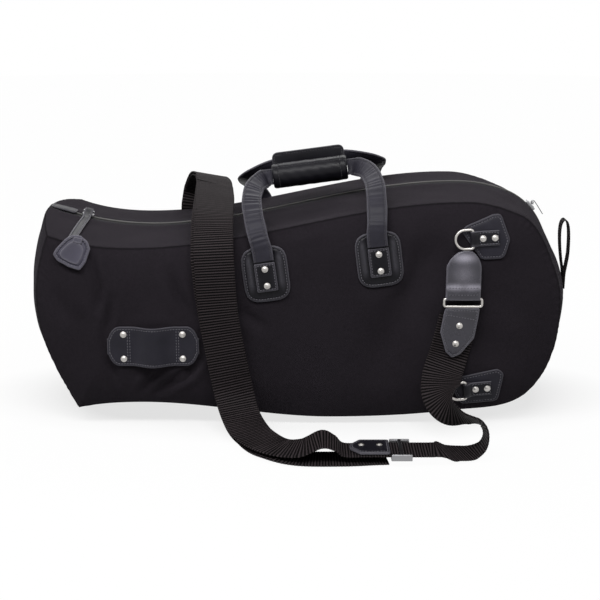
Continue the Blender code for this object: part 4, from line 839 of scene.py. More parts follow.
def rivet(seat, u, v, through, sizes):
    """Rivet head: a washer with a rolled rim and a low dome in it."""
    r = sizes.rivet_radius
    shape = [(0.5, -0.0012), (0.93, -0.0002), (1.0, 0.0002), (1.0, 0.0006), (0.94, 0.0009)]
    shape += [(0.84, 0.0010), (0.74, 0.0009), (0.68, 0.0011), (0.55, 0.0015)]
    shape += [(0.38, 0.00185), (0.18, 0.00205), (0.03, 0.0021)]
    return lathe(seat, u, v, [(r * share, height + through) for share, height in shape])


def add_rivets(name, heads, body):
    """Adds rivet heads as one piece."""
    add_piece(f"nickel_{name}", joined(heads), "nickel", body, name)


def strap_profile(width, thick, grooves=0.0032):
    """Section of a leather strap: rounded edges, a low crown and two stitch grooves."""
    half, t = width / 2, thick / 2
    groove = half - grooves
    side = [(-half + 0.0010, t * 0.92), (-half + 0.0019, t)]
    side += [(-groove - 0.0007, t), (-groove, t - 0.00035)]
    side += [(-groove + 0.0008, t), (-groove * 0.5, t + 0.0001), (0, t + 0.00015)]
    top = side + [(-x, y) for x, y in side[-2::-1]]
    edge = [(half - 0.0003, t * 0.55), (half, 0), (half - 0.0003, -t * 0.55)]
    bottom = [(-x, -y) for x, y in top]
    return np.array(top + edge + bottom + [(-x, -y) for x, y in edge])


def strap_marks(profile, width):
    """Wear of a strap's section: full at its edges."""
    return np.exp(-(width / 2 - np.abs(np.array(profile)[:, 0])) / 0.0010)


# Cloth

SPINE = np.array(((-0.245, 0.135), (0.185, 0.152)))
SPINE_WAY = np.array([SPINE[1, 0] - SPINE[0, 0], 0, SPINE[1, 1] - SPINE[0, 1]])
# Creases of the front panel: places along each in XZ, share of the full depth, half width.
CREASES = [
    (((-0.265, 0.229), (-0.253, 0.184), (-0.254, 0.157)), 0.70, 0.0050),
    (((-0.240, 0.171), (-0.2445, 0.131), (-0.243, 0.089), (-0.234, 0.063)), 0.85, 0.0055),
    (((-0.164, 0.207), (-0.151, 0.171), (-0.133, 0.142)), 0.75, 0.0055),
    (((-0.127, 0.131), (-0.127, 0.096)), 0.45, 0.0040),
    (((-0.121, 0.105), (-0.146, 0.0725), (-0.1905, 0.044)), 1.00, 0.0060),
    (((-0.1715, 0.089), (-0.207, 0.044)), 0.65, 0.0050),
    (((-0.076, 0.157), (-0.0445, 0.131)), 0.40, 0.0070),
    (((-0.032, 0.253), (0.032, 0.266)), 0.35, 0.0060),
    (((0.187, 0.255), (0.149, 0.210), (0.121, 0.138), (0.095, 0.0725)), 0.75, 0.0200),
    (((0.262, 0.090), (0.235, 0.118), (0.150, 0.150)), 0.35, 0.0160),
    (((-0.315, 0.185), (-0.285, 0.140), (-0.275, 0.085)), 0.55, 0.0110),
]
REAR_CREASES = [
    (((-0.262, 0.210), (-0.250, 0.150), (-0.235, 0.080)), 0.80, 0.0090),
    (((-0.150, 0.190), (-0.120, 0.120), (-0.150, 0.060)), 0.70, 0.0120),
    (((0.190, 0.240), (0.140, 0.170), (0.100, 0.080)), 0.70, 0.0180),
    (((0.020, 0.190), (0.035, 0.120), (0.010, 0.060)), 0.35, 0.0160),
]
# Ellipses that the cloth lies flat in, under leather: side, place in XZ and half sizes.
FLATS = [
    (-1, -0.043, 0.200, 0.040, 0.046),
    (-1, 0.100, 0.219, 0.040, 0.046),
    (-1, -0.187, 0.110, 0.070, 0.036),
    (-1, 0.232, 0.249, 0.044, 0.040),
    (-1, 0.230, 0.053, 0.046, 0.034),
    (1, -0.043, 0.200, 0.040, 0.046),
    (1, 0.100, 0.219, 0.040, 0.046),
    (1, -0.149, 0.192, 0.034, 0.046),
]
RIPPLES = [
    (20, 0.150, 0.9, 0.3), (75, 0.110, 0.8, 1.9), (130, 0.085, 0.6, 4.1),
    (160, 0.060, 0.4, 2.2), (50, 0.046, 0.3, 5.0),
]


def gathers(s, phase=0.0):
    """Unevenly spaced small gathers along a seam, from 0 to 1: a sine whose pace wanders."""
    wave = np.sin(TURN * s / 0.0125 + 2.1 * np.sin(TURN * s / 0.061 + phase) + phase)
    slow = 0.5 + 0.5 * np.sin(TURN * s / 0.043 + 1.3 * phase)
    return (0.5 + 0.5 * wave) * (0.35 + 0.65 * slow)


def rolled(d, radius):
    """Depth of a quarter round at a distance from its edge."""
    return radius - np.sqrt(np.maximum(0, radius**2 - np.maximum(0, radius - d) ** 2))


def ripples(a, b, phase=0.0):
    """Slow waves of the cloth: the sum of sines that run in five directions, from 0 to 1."""
    total = 0
    for turn, wave, share, start in RIPPLES:
        c, s = heading(turn)
        total = total + share * np.sin(TURN * (a * c + b * s) / wave + start + phase)
    return 0.5 + total / 6.0


def slack(x, z, inside, side, sizes):
    """How far a panel's cloth sinks under its full swell: waves and creases, which fade to
    nothing at the seam and under leather."""
    depth = 0.0016 * ripples(x, z, side) * smooth(inside / 0.035)
    for line, share, wide in CREASES if side < 0 else REAR_CREASES:
        far, place = line_distance(x, z, line)
        fade = np.sin(np.pi * np.clip(place, 0.02, 0.98)) ** 0.6 * smooth(inside / 0.018)
        groove = bell(far, 0, wide) - 0.35 * bell(far, 2.1 * wide, wide)
        depth = depth + sizes.crease_depth * share * fade * groove
    free = np.ones_like(x)
    for owner, u, v, wide, tall in FLATS:
        if owner == side:
            free = free * smooth(np.hypot((x - u) / wide, (z - v) / tall) * 2.2 - 1.7)
    return depth * free


def panel_grid(every, shares):
    """Rings in XZ from the seam to the spine."""
    seam = SEAM[::every]
    share = np.clip((seam[:, :1] - SPINE[0, 0]) / (SPINE[1, 0] - SPINE[0, 0]), 0, 1)
    middle = SPINE[0] + (SPINE[1] - SPINE[0]) * share
    flat = seam + (middle - seam) * np.asarray(shares)[:, None, None]
    inside, _ = line_distance(flat[..., 0], flat[..., 1], SEAM[::2], True)
    return flat, inside


def panel_skin(flat, inside, side, sizes):
    """Distance of the panel's skin from the middle plane, without what its seam does to it."""
    x, z = flat[..., 0], flat[..., 1]
    swell = PILLOW * (1 - (1 - np.minimum(inside, PILLOW_RUN) / PILLOW_RUN) ** 2)
    return half_width(x) + swell - slack(x, z, inside, side, sizes)


def placed(flat, y):
    """Places in space of points in XZ at the given y."""
    return np.stack([flat[..., 0], y, flat[..., 1]], axis=-1)


def dress_panel(word, side, sizes):
    """Panel as rings from its seam to its spine. Its skin swells within the seam, rolls into
    it by a quarter round, is gathered along it, and sinks in waves and creases."""
    near = np.array([0, 0.4, 0.8, 1.2, 1.7, 2.3, 3.1, 4.2, 5.6, 7.4, 9.6]) / 140
    shares = np.concatenate([near, np.linspace(near[-1], 0.9985, 50)[1:]])
    flat, inside = panel_grid(1, shares)
    s = lengths(SEAM)
    pucker = sizes.seam_pucker * gathers(s, side) * np.exp(-inside / 0.007)
    pucker = pucker * (1 - np.exp(-inside / 0.0012))
    outer = panel_skin(flat, inside, side, sizes) - rolled(inside, sizes.seam_roll * 0.85)
    outer = outer - 2.2 * pucker
    back, depth = panel_grid(1, [0.9985, 0.75, 0.5, 0.25, 0.08, 0.0])
    inner = panel_skin(back, depth, side, sizes) - PANEL_THICK - 0.0001
    sections = np.concatenate([placed(back, side * inner), placed(flat, side * outer)])
    uv = np.concatenate([back, flat])
    marks = np.concatenate([np.zeros(back.shape[:2]), bell(inside, 0, 0.0016)])
    shape = loft(sections, marks=marks, uv=uv, axis=SPINE_WAY)
    panel = add_piece(f"cloth_{word}", shape, "body cloth", f"{word}_half", f"{word}_panel")


def dress_padding(word, side, sizes):
    """Foam with its lining behind a panel, with the same waves, sewn into soft ribs inside."""
    shares = np.concatenate([[0.066, 0.072, 0.084], np.linspace(0.1, 0.985, 34)])
    flat, inside = panel_grid(2, shares)
    skin = panel_skin(flat, inside, side, sizes) - PANEL_THICK - 2 * GAP - 0.0012
    quilt = 0.0012 * (1 - np.abs(np.sin(np.pi * flat[..., 0] / 0.055)) ** 0.35)
    depth = PADDING_THICK - 0.0012 - rolled(inside - 0.0093, 0.003) - quilt
    outside, inside = placed(flat, side * skin), placed(flat, side * (skin - depth))
    sections = np.concatenate([outside[::-1], inside])
    uv = np.concatenate([flat[::-1], flat])
    shape = loft(sections, uv=uv, axis=SPINE_WAY)
    pad = add_piece(f"lining_{word}", shape, "lining", f"{word}_half", f"{word}_padding")


def add_band(name, start, end, low, body, sizes):
    """Gusset strip between two rows and from y = low (None for the far seam) to the seam. Its
    skin rolls into the seams, is gathered along them and sinks in slow waves; 8 mm of foam."""
    steps = np.linspace(start, end, 400)
    along = lengths(row_values(CREST, steps % ROWS, FINE))
    ends = np.array([0, 0.0006, 0.0013, 0.0021, 0.0030, 0.0042])
    middle = np.linspace(0, along[-1], int(along[-1] / 0.0028))[2:-2]
    s = np.concatenate([ends, middle, along[-1] - ends[::-1]])
    rows = np.interp(s, along, steps)[:, None]
    edge = half_width(row_values(SEAM, rows % ROWS, FINE)[..., 0]) - PANEL_THICK - GAP
    near = np.array([0, 0.4, 0.8, 1.3, 1.9, 2.7, 3.8, 5.4, 7.5, 10.5, 14.5]) / 1000
    side = 1
    if low is None:
        first = near / 0.28
        middle = np.linspace(first[-1], 1 - first[-1], 50)[1:-1]
        t = np.concatenate([first, middle, 1 - first[::-1]])
        y = -edge + 2 * edge * t
        far = np.minimum(edge - y, edge + y)
    else:
        side = math.copysign(1, low)
        first, last = [0, 0.004, 0.009, 0.015, 0.025], 1 - near[::-1] / 0.13
        t = np.concatenate([first, np.linspace(0.04, last[0], 26), last[1:]])
        y = low + (side * edge - low) * t
        far = edge - np.abs(y)
    s = s[:, None] + 0 * y
    depth = rolled(far, sizes.seam_roll)
    fading = np.exp(-far / 0.008) * (1 - np.exp(-far / 0.0012))
    depth += 1.6 * sizes.seam_pucker * gathers(s, 2.0 * side) * fading
    open_run = smooth(far / 0.03)
    if low is not None:
        depth += rolled(np.abs(y - low), 0.0012) + 0.0006 * bell(np.abs(y - low), 0.0034, 0.0012)
        open_run = open_run * smooth(np.abs(y - low) / 0.03)
    for run in (s, s[-1:] - s):
        depth += rolled(run, sizes.seam_roll)
        fading = np.exp(-run / 0.008) * (1 - np.exp(-run / 0.0012))
        depth += 1.3 * sizes.seam_pucker * gathers(y, 3.0) * fading
        open_run = open_run * smooth(run / 0.03)
    depth = np.minimum(depth + 0.0030 * ripples(s, y, 1.0) * open_run, 0.0068)
    outer = gusset(rows, y, depth)
    inner = gusset(rows, y, GUSSET_THICK)
    marks = bell(np.minimum(far, np.minimum(s, s[-1:] - s)), 0, 0.0014)
    shape = shell(outer, inner, np.stack([s, y], axis=-1), marks)
    strip = add_piece(f"cloth_{name}", shape, "body cloth", body, name)
    return rows


# Zip

TAPE_HALF, TAPE_SINK, TAPE_THICK = 0.012, 0.0008, 0.0015
COIL_HALF, COIL_RISE = 0.0033, 0.0012


def build_zip_half(side, body, which, sizes):
    """Tape as a thin shell along the crest, and a row of coil teeth: bars across the tape
    whose ends are thicker where they catch in the other half."""
    rows = np.linspace(0.02, AT["end"] - 0.02, 420)[:, None]
    y = side * np.array([0.0003, 0.0020, 0.0036, 0.0060, 0.0090, 0.0116])
    y = np.broadcast_to(y, (len(rows), len(y)))
    s = lengths(row_values(CREST, rows[:, 0], FINE))
    lift = 0.00025 * np.abs(np.sin(np.pi * np.abs(y) / 0.0045))
    outer = gusset(rows, y, TAPE_SINK - lift + 0.0002)
    inner = gusset(rows, y, TAPE_SINK + TAPE_THICK)
    uv = np.stack([s[:, None] + 0 * y, y], axis=-1)
    add_piece(f"zip_tape_{which}", shell(outer, inner, uv), "zip tape", body, f"zip_chain_{which}")
    first = 0.004 if side < 0 else 0.004 + sizes.tooth_pitch / 2
    at = np.arange(first, s[-1] - 0.004, sizes.tooth_pitch)
    place = np.interp(at, s, rows[:, 0])
    spot = gusset(place, np.zeros_like(place), -0.0002 + np.zeros_like(place))
    step = gusset(place + 0.01, np.zeros_like(place), -0.0002 + np.zeros_like(place)) - spot
    across = np.broadcast_to([0.0, side, 0.0], spot.shape)
    out = unit(np.cross(step, [0, -1, 0]))
    out *= np.sign(out[:, 2:] + 0.5 * out[:, :1] + 1e-9)
    along = np.array([0.0033, 0.0030, 0.0019, 0.0010, 0.0003])
    wide = np.array([0.35, 0.55, 0.55, 0.72, 0.40]) / 1000
    tall = np.array([0.45, 0.85, 0.80, 0.90, 0.45]) / 1000
    teeth = beads(spot, across, out, along, wide, tall, np.zeros(5))
    add_piece(f"zip_teeth_{which}", teeth, "zip coil", body, sharp=60)


def zip_seat(arc, turn):
    """Seat on the zip: u along it, v across it towards -Y, n out of the bag."""
    x, z = on_arc(*arc, turn)
    c, s = heading(turn)
    return Seat((x, 0, z), (c, 0, -s), (0, -1, 0), (s, 0, c))


LEFT_ARC, LEFT_TURN = FLARE, 13.003
RIGHT_ARC, RIGHT_TURN = SHOULDER, 47.0
SLIDER_TOP, SLIDER_ROOF, SLIDER_LOW = 0.0039, 0.0017, -0.0003
EYE_BORE = 0.001814
BAR_HEIGHT = SLIDER_TOP + EYE_BORE + 0.0018


def build_slider(word, arc, turn, along):
    """Slider body as rounded sections along the zip's arc, narrower at both ends, with a flat
    crown and an arched bail over it."""
    half, lip = 0.0052, COIL_HALF + 0.0005
    corners = [(-half, SLIDER_LOW), (-half, SLIDER_TOP), (0.0043, SLIDER_TOP)]
    corners += [(0.0005, SLIDER_ROOF)]
    corners += [(-lip, SLIDER_ROOF), (-lip, SLIDER_LOW)]
    section = round_corners(corners, 0.0007, 3)
    shares = np.array([-1.0, -0.97, -0.88, -0.6, -0.2, 0.2, 0.6, 0.88, 0.97, 1.0])
    narrow = np.array([0.86, 0.92, 0.97, 1.0, 0.93, 0.93, 1.0, 0.97, 0.92, 0.86])
    angle = np.radians(turn + shares * math.degrees(0.00775 / abs(arc[2])))[:, None]
    y = section[:, 0] * narrow[:, None]
    low = np.minimum(1, narrow + 0.04)[:, None]
    radius = arc[2] + SLIDER_ROOF + (section[:, 1] - SLIDER_ROOF) * low
    x, z = arc[0] + radius * np.sin(angle), arc[1] + radius * np.cos(angle)
    points = np.stack([x, y, z], axis=-1)
    seat = zip_seat(arc, turn)
    inside = (0.011 if along else 0.0040) / 2 + 0.0013
    top, foot = BAR_HEIGHT, SLIDER_TOP - 0.0004
    corners = [(-inside, foot - 0.004), (-inside, top), (inside, top), (inside, foot - 0.004)]
    arch = round_corners(corners, 0.0012, 6)
    a, n = evenly(arch[arch[:, 1] > foot], 0.0005, False).T
    spots, across = (seat.at(a, 0, n), seat.v) if along else (seat.at(0, a, n), seat.u)
    route = np.hstack([spots, np.broadcast_to(across, spots.shape)])
    round_bar = 0.0010 * circle(12)
    crown = round_corners(box_corners(0.0120, 0.0062, 0, -0.0003), 0.0025, 6)
    low, high = SLIDER_TOP - 0.0003, SLIDER_TOP + 0.0005
    flipped = lambda u, v, h: seat.at(u, -v, h)
    cap = plate(crown, flipped, low, high, 0.0004, 0, 0, 0.0001, step=0.0006)
    shape = joined([loft(points), ribbon(route, round_bar), cap])
    name = f"slider_{word}"
    add_piece(f"metal_{name}", shape, "dark metal", f"{word}_slider", name)


def eye_points(place, start, end, thick):
    """Points of a strap's or pull's bend round the bar of a slider's eye."""
    turns = np.radians(np.linspace(start, end, 14))
    return place((EYE_BORE + thick / 2) * np.cos(turns), (EYE_BORE + thick / 2) * np.sin(turns))


# How far the visible fob lies right of its solid and above it, as in the photograph.
FOB_SHIFT = (0.0050, 0.0080)
FOB_STRAP_WIDTH, FOB_STRAP_THICK, FOB_STRAP_LIFT = 0.011, 0.0014, 0.0005
FOB_LOW = FOB_STRAP_LIFT + FOB_STRAP_THICK + 2 * GAP


def fob_seat():
    """Seat of the fob on the front panel, and the points of the strap that it hangs from."""
    seat = zip_seat(LEFT_ARC, LEFT_TURN)
    row = seat.origin[0]
    where = np.interp(row, CREST[: 9 * FINE, 0], np.arange(9 * FINE) / FINE)
    surface = lambda y: (gusset(where, -np.asarray(y, float), 0.0) - seat.origin) @ seat.n
    edge = float(half_width(row))
    drop = float(surface(edge))
    swell = lambda d: edge + PILLOW * (1 - (1 - min(d, PILLOW_RUN) / PILLOW_RUN) ** 2)
    reach, thick = 0.018, FOB_STRAP_THICK
    tilt = math.atan((swell(reach + 0.001) - swell(reach - 0.001)) / 0.002)
    down = np.array([0, -math.sin(tilt), 0]) - seat.n * math.cos(tilt)
    out = np.array([0, -math.cos(tilt), 0]) + seat.n * math.sin(tilt)
    face = seat.at(0, swell(reach), drop - reach).reshape(3)
    hang = Seat(face, seat.u, -down, out)
    points = [eye_points(lambda a, b: seat.at(0, a, BAR_HEIGHT + b), 335, 72, thick)]
    ys = np.array([0.022, 0.050, 0.080, 0.110, 0.136])
    points.append(seat.at(0, ys, surface(ys) + thick / 2 + 0.001))
    points.append(seat.at(0, edge + 0.0022, drop + 0.0030).reshape(1, 3))
    points.append(hang.at(0, np.array([0.014, 0.004]), FOB_STRAP_LIFT + thick / 2))
    return seat, hang, np.vstack(points)


def build_fob(sizes):
    """Strap of the left slider and its stitched fob, with a bare raised field and a fold."""
    seat, hang, points = fob_seat()
    rows = smooth_route(np.hstack([points, np.broadcast_to(seat.u, points.shape)]), 0.0012)
    section = strap_profile(FOB_STRAP_WIDTH, FOB_STRAP_THICK, 0.0022)
    strap = ribbon(rows, section, marks=strap_marks(section, FOB_STRAP_WIDTH))
    add_piece("leather_fob_strap", strap, "leather", "fob", "fob_strap")
    middle, _, across, normal = ribbon_frame(rows[22:])
    normal = normal * np.sign(normal @ np.array([0, -1.0, 0.6]))[:, None]
    face = middle + normal * 0.00085
    sewn = [stitches(face + across * k, normal, sizes, False) for k in (-0.0035, 0.0035)]
    corners = [(6.8, 22.1), (16.8, 16.8), (22.1, 8.4), (20.5, -9.5), (15.3, -21.1)]
    corners += [(1.0, -20.0), (-14.7, -15.3), (-22.1, -8.4), (-19.0, 1.0), (-10.5, 14.7)]
    corners += [(-3.2, 21.0)]
    shape = round_corners(np.array(corners[::-1]) / 1000, 0.0042)
    low, middle = FOB_LOW, FOB_LOW + 0.0026
    lay = lambda u, v, h: hang.at(FOB_SHIFT[0] + u, FOB_SHIFT[1] + v, h)
    fob = plate(shape, lay, low, low + 0.0032, 0.0013, 0.0042, 0.0013, 0.0005)
    field = evenly(shape, 0.002) * 0.66 + np.array([0.0004, -0.0012])
    bare = plate(field, lay, middle, low + 0.0044, 0.0010, 0, 0, 0.0002)
    end = round_corners(box_corners(0.0115, 0.0075, 0.0045, 0.0150), 0.0015)
    fold = plate(end, lay, middle, low + 0.0050, 0.0008)
    add_piece("leather_fob", joined([fob, bare, fold]), "fob leather", "fob", "fob")
    sewn.append(plate_stitches(shape, lay, low + 0.0030, sizes, 0.0032))
    add_piece("fob_stitches", joined(sewn), "thread", "fob")


def build_pull():
    """Thin pull of the right slider: an oval bar, narrow in its middle and wide at its end."""
    seat = zip_seat(RIGHT_ARC, RIGHT_TURN)
    place = lambda a, b: seat.at(a, 0, BAR_HEIGHT + b)
    tail = place(np.array([0.0074, 0.021]), np.array([0.0015, -0.001]))
    points = np.vstack([eye_points(place, 335, 80, 0.0012), tail])
    rows = np.hstack([points, np.broadcast_to([0.0, 1.0, 0.0], points.shape)])
    rows = smooth_route(rows, 0.0006)
    oval = circle(16) * (0.0019, 0.0006)
    t = np.linspace(0, 1, len(rows))
    wide = 1 - 0.30 * smooth((t - 0.45) / 0.2) + 0.35 * smooth((t - 0.8) / 0.15)
    pull = ribbon(rows, oval, scale=np.stack([wide, np.ones_like(t)], axis=1))
    add_piece("metal_pull", pull, "dark metal", "pull", "wire_pull")


def build_sliders(sizes):
    """Both sliders, the left one's fob and the right one's pull."""
    build_slider("left", LEFT_ARC, LEFT_TURN, True)
    build_slider("right", RIGHT_ARC, RIGHT_TURN, False)
    build_fob(sizes)
    build_pull()


def build_end_tab(sizes):
    """Leather that covers the zip's left end, laid along the gusset's crest."""
    pitch = float(lengths(row_values(CREST, np.linspace(0.25, 1.75, 20), FINE))[-1]) / 1.5
    lay = lambda u, v, h: gusset(1.0 + u / pitch, v, -h)
    low = COIL_RISE + GAP
    shape = round_corners(box_corners(1.5 * pitch, 0.022), 0.004)
    tab = plate(shape, lay, low, low + 0.0019)
    add_piece("leather_zip_end", tab, "grip leather", "rear_half", "zip_end_tab")
    stitched = plate_stitches(shape, lay, low + 0.0017, sizes)
    add_piece("zip_end_stitches", stitched, "thread", "rear_half")


# Leather and metal sewn to the panels

PATCH_LOW, PATCH_HIGH, TAB_LOW, TAB_HIGH = 0.0010, 0.0030, 0.0042, 0.0064
WIRE, RING_LIFT = 0.00175, 0.00715
HANDLE_TILT, HANDLE_SPAN = 7.5, 0.1442
TILT_COS, TILT_SIN = heading(HANDLE_TILT)
# Seat of the carry straps, between their patches: u along the grip, v up and n to the front.
HANDLE = Seat(
    (0.02635, 0, 0.22765), (TILT_COS, 0, TILT_SIN), (-TILT_SIN, 0, TILT_COS), (0, -1, 0)
)
STRAP_WIDTH, STRAP_THICK = 0.0254, 0.0036
# The rolled grip on that seat: half its length, its middle and the radius at its stitches.
GRIP_HALF, GRIP_SHIFT, GRIP_UP, GRIP_OUT, GRIP_STITCH = 0.0495, -0.0015, 0.0888, 0.030, 0.0160


def handle_spot(side, end):
    """Seat for a carry strap's patch: end is -1 for the left one, 1 for the right."""
    place = HANDLE.at(end * HANDLE_SPAN / 2, -0.01825, 0).reshape(3)
    return panel_seat(side, place[0], place[2], HANDLE_TILT)


def build_handle_patches(sizes):
    """Patch, box-stitched tab and two rivets at each end of both carry straps."""
    patch = round_corners(box_corners(0.058, 0.070, 0, 0.003), 0.020)
    tab = round_corners(box_corners(0.0265, 0.0365), 0.002)

    def painted_highlight(u, v):
        """Painted highlight on the ridges beside the tab."""
        ends = smooth((v + 0.022) / 0.016), smooth((0.034 - v) / 0.012)
        return 0.42 * bell(np.abs(u), 0.0195, 0.0028) * ends[0] * ends[1]

    for prefix, side, body in (("handle", -1, "front_half"), ("rear_handle", 1, "rear_half")):
        for word, end in (("left", -1), ("right", 1)):
            seat = handle_spot(side, end)

            def lay(u, v, h):
                """Follows the panel, with a ridge at each side of the tab."""
                ridge = bell(np.abs(u), 0.0185, 0.0040) * smooth((v + 0.030) / 0.012)
                return seat.on_panel(u, v, h + 0.0013 * ridge)

            name = f"{prefix}_patch_{word}"
            looks = 0.0014, 0.0036, 0.0007, 0.0004
            shape = plate(patch, lay, PATCH_LOW, PATCH_HIGH, *looks, painted_highlight=painted_highlight)
            add_piece(f"leather_{name}", shape, "patch leather", body, name)
            name = f"{prefix}_tab_{word}"
            shape = plate(tab, seat.at, TAB_LOW - 0.0012, TAB_HIGH)
            add_piece(f"leather_{name}", shape, "patch leather", body, name)
            sewn = [plate_stitches(patch, seat.on_panel, PATCH_HIGH - 0.0003, sizes, 0.0036)]
            sewn.append(plate_stitches(tab, seat.at, TAB_HIGH - 0.0003, sizes, 0.0026))
            add_piece(f"{prefix}_stitches_{word}", joined(sewn), "thread", body)
            heads = [rivet(seat, 0, v, TAB_HIGH, sizes) for v in (-0.01075, 0.01075)]
            add_rivets(f"{prefix}_rivets_{word}", heads, body)


def handle_route(route, end, side):
    """Route of one leg of a carry strap, from (u, y, w, width u, y, w) of the right front one."""
    u, y, w, a, b, c = np.array(route).T
    spots = HANDLE.at(end * u, w, -side * y)
    widths = HANDLE.u * a[:, None] + HANDLE.v * (end * c)[:, None]
    widths = widths + np.array([0, 1, 0]) * (end * side * b)[:, None]
    return np.hstack([spots, widths])


def strap_piece(name, rows, last_way, body, sizes, creases=0.0, towards=(0, -1, 0.8)):
    """Carry strap: a crowned section with stitched edges along a route, its face creased
    across by sines of wandering pace."""
    s = lengths(rows[:, :3])
    crinkle = creases * (np.sin(TURN * s / 0.0078 + 2.0 * np.sin(TURN * s / 0.031)) - 0.2)
    crinkle = 1 + crinkle * smooth(s / 0.03) * smooth((s[-1] - s) / 0.03)
    section = strap_profile(STRAP_WIDTH, STRAP_THICK)
    scale = np.stack([1 + 0.015 * np.sin(TURN * s / 0.037), crinkle], axis=1)
    shape = ribbon(rows, section, last_way, scale, strap_marks(section, STRAP_WIDTH))
    add_piece(f"leather_{name}", shape, "strap leather", body, name)
    middle, _, across, normal = ribbon_frame(rows, last_way)
    normal = normal * np.sign((normal @ np.array(towards, float)).sum())
    face = middle + normal * 0.0016
    sewn = [stitches(face + across * k, normal, sizes, False) for k in (-0.0097, 0.0097)]
    add_piece(f"{name}_stitches", joined(sewn), "dark thread", body)


def build_carry_straps(sizes):
    """Front carry strap, in two legs from its tabs to the grip, and the rear one in one piece."""
    h = HANDLE_SPAN / 2
    y = -handle_spot(-1, 1).at(0, 0.02085, 0.0062).reshape(3)[1]
    leg = [
        (h, y, 0.0026, 1, 0, 0), (h + 0.0005, y + 0.0004, 0.018, 1, 0, 0),
        (h + 0.003, 0.154, 0.034, 1, 0, 0.05), (h + 0.006, 0.137, 0.056, 1, -0.1, 0.1),
        (h + 0.007, 0.108, 0.074, 0.9, -0.3, 0.3), (h + 0.002, 0.074, 0.0855, 0.6, -0.6, 0.6),
        (h - 0.007, 0.049, 0.0885, 0.25, -0.7, 0.7),
    ]
    for word, end, creases in (("left", -1, 0.26), ("right", 1, 0.12)):
        tip = GRIP_HALF + end * GRIP_SHIFT + 0.0006
        turn = [(tip + 0.009, 0.0335), (tip, GRIP_OUT)]
        turn = [(u, y, GRIP_UP, 0, -0.7, 0.7) for u, y in turn]
        rows = smooth_route(handle_route(leg + turn, end, -1), 0.0014)
        name = f"front_handle_strap_{word}"
        strap_piece(name, rows, -end * HANDLE.u, "front_handle", sizes, creases)
    leg = [
        (h, y, 0.0026, 1, 0, 0), (h + 0.001, y + 0.0004, 0.018, 1, 0, 0),
        (h + 0.007, 0.156, 0.038, 1, 0, 0.1), (h + 0.016, 0.136, 0.056, 1, -0.2, 0.15),
        (h + 0.021, 0.100, 0.067, 0.9, -0.4, 0.3), (h + 0.017, 0.062, 0.078, 0.6, -0.6, 0.5),
        (h - 0.008, 0.033, 0.090, 0.2, -0.6, 0.75), (0.030, 0.019, 0.0965, 0, -0.3, 0.95),
    ]
    right, left = handle_route(leg, 1, 1), handle_route(leg, -1, 1)
    left[:, 3:] *= -1
    middle = HANDLE.at(0, 0.097, -0.017).reshape(3), HANDLE.v * 0.95 + np.array([0, -0.3, 0])
    rows = smooth_route(np.vstack([left, np.concatenate(middle), right[::-1]]), 0.0014)
    strap_piece("rear_handle_strap", rows, None, "rear_handle", sizes, 0.08, (0, 1, 0.8))


def on_grip(along, angle, radius):
    """Places round the grip's axis: a length along it, an angle and a distance from it."""
    up, out = radius * np.sin(angle), radius * np.cos(angle)
    return HANDLE.at(along + GRIP_SHIFT, GRIP_UP + up, GRIP_OUT + out)


def build_grip(sizes):
    """Rolled grip: its ends round off, and stitched grooves run round it near them and along
    its lap; then the flap that stands up behind it."""
    rim = np.array([-0.0495, -0.0494, -0.0490, -0.0484, -0.0476, -0.0466])
    u = np.concatenate([rim, np.linspace(-0.0455, 0.0455, 130), -rim[::-1]])
    turn = np.arange(72) * TURN / 72
    laps = 0.55 * math.pi, 0.28 * math.pi
    end = GRIP_HALF - np.abs(u)
    dip = 1 - np.sqrt(np.clip(1 - (1 - end / 0.0038) ** 2, 0, 1))
    radius = 0.0163 - 0.0023 * dip * (end < 0.0038)
    radius = radius - 0.0005 * bell(end, 0.0085, 0.0009)
    fat = radius[:, None] * np.ones(72)
    wander = np.sin(u[:, None] * TURN / 0.019 + 1.5 * np.sin(2 * turn))
    fat += 0.00022 * wander * np.sin(3 * turn + u[:, None] * 60)
    fat -= 0.0006 * sum(bell((turn - lap) * 0.0165, 0, 0.0010) for lap in laps)
    along = np.stack(np.broadcast_arrays(u[:, None], turn * 0.0165), axis=-1)
    shape = loft(on_grip(u[:, None] + 0 * fat, turn, fat), uv=along)
    body = "front_handle"
    name, slot = "handle_grip", "grip_leather"
    grip = add_piece(f"leather_{name}", shape, "grip leather", body, name, slot=slot)
    sewn = []
    for place in (-0.041, 0.041):
        ring = on_grip(place + 0 * turn, turn, GRIP_STITCH)
        sewn.append(stitches(ring, unit(ring - on_grip(place, 0, 0).reshape(3)), sizes))
    for lap in laps:
        line = on_grip(np.linspace(-0.046, 0.046, 60), lap, GRIP_STITCH)
        out = HANDLE.v * math.sin(lap) + HANDLE.n * math.cos(lap)
        sewn.append(stitches(line, np.broadcast_to(out, line.shape), sizes, False))
    add_piece("grip_stitches", joined(sewn), "dark thread", body, slot="grip_leather")

    flap = round_corners(box_corners(0.097, 0.0315, GRIP_SHIFT, 0.10175), 0.009)

    def bowed(u, v, h):
        """Upright, with its top corners leaning back."""
        lean = 0.0012 * smooth((v - 0.100) / 0.017) * (u / 0.05) ** 2
        return HANDLE.at(u, v, 0.0100 + h - lean)

    shape = plate(flap, bowed, 0.0, 0.0030, 0.0009, 0.0030, 0.0005, 0.0)
    add_piece("leather_grip_flap", shape, "grip leather", "flap", "grip_flap")
    sewn = plate_stitches(flap, bowed, 0.0027, sizes, 0.0030)
    add_piece("flap_stitches", sewn, "dark thread", "flap")


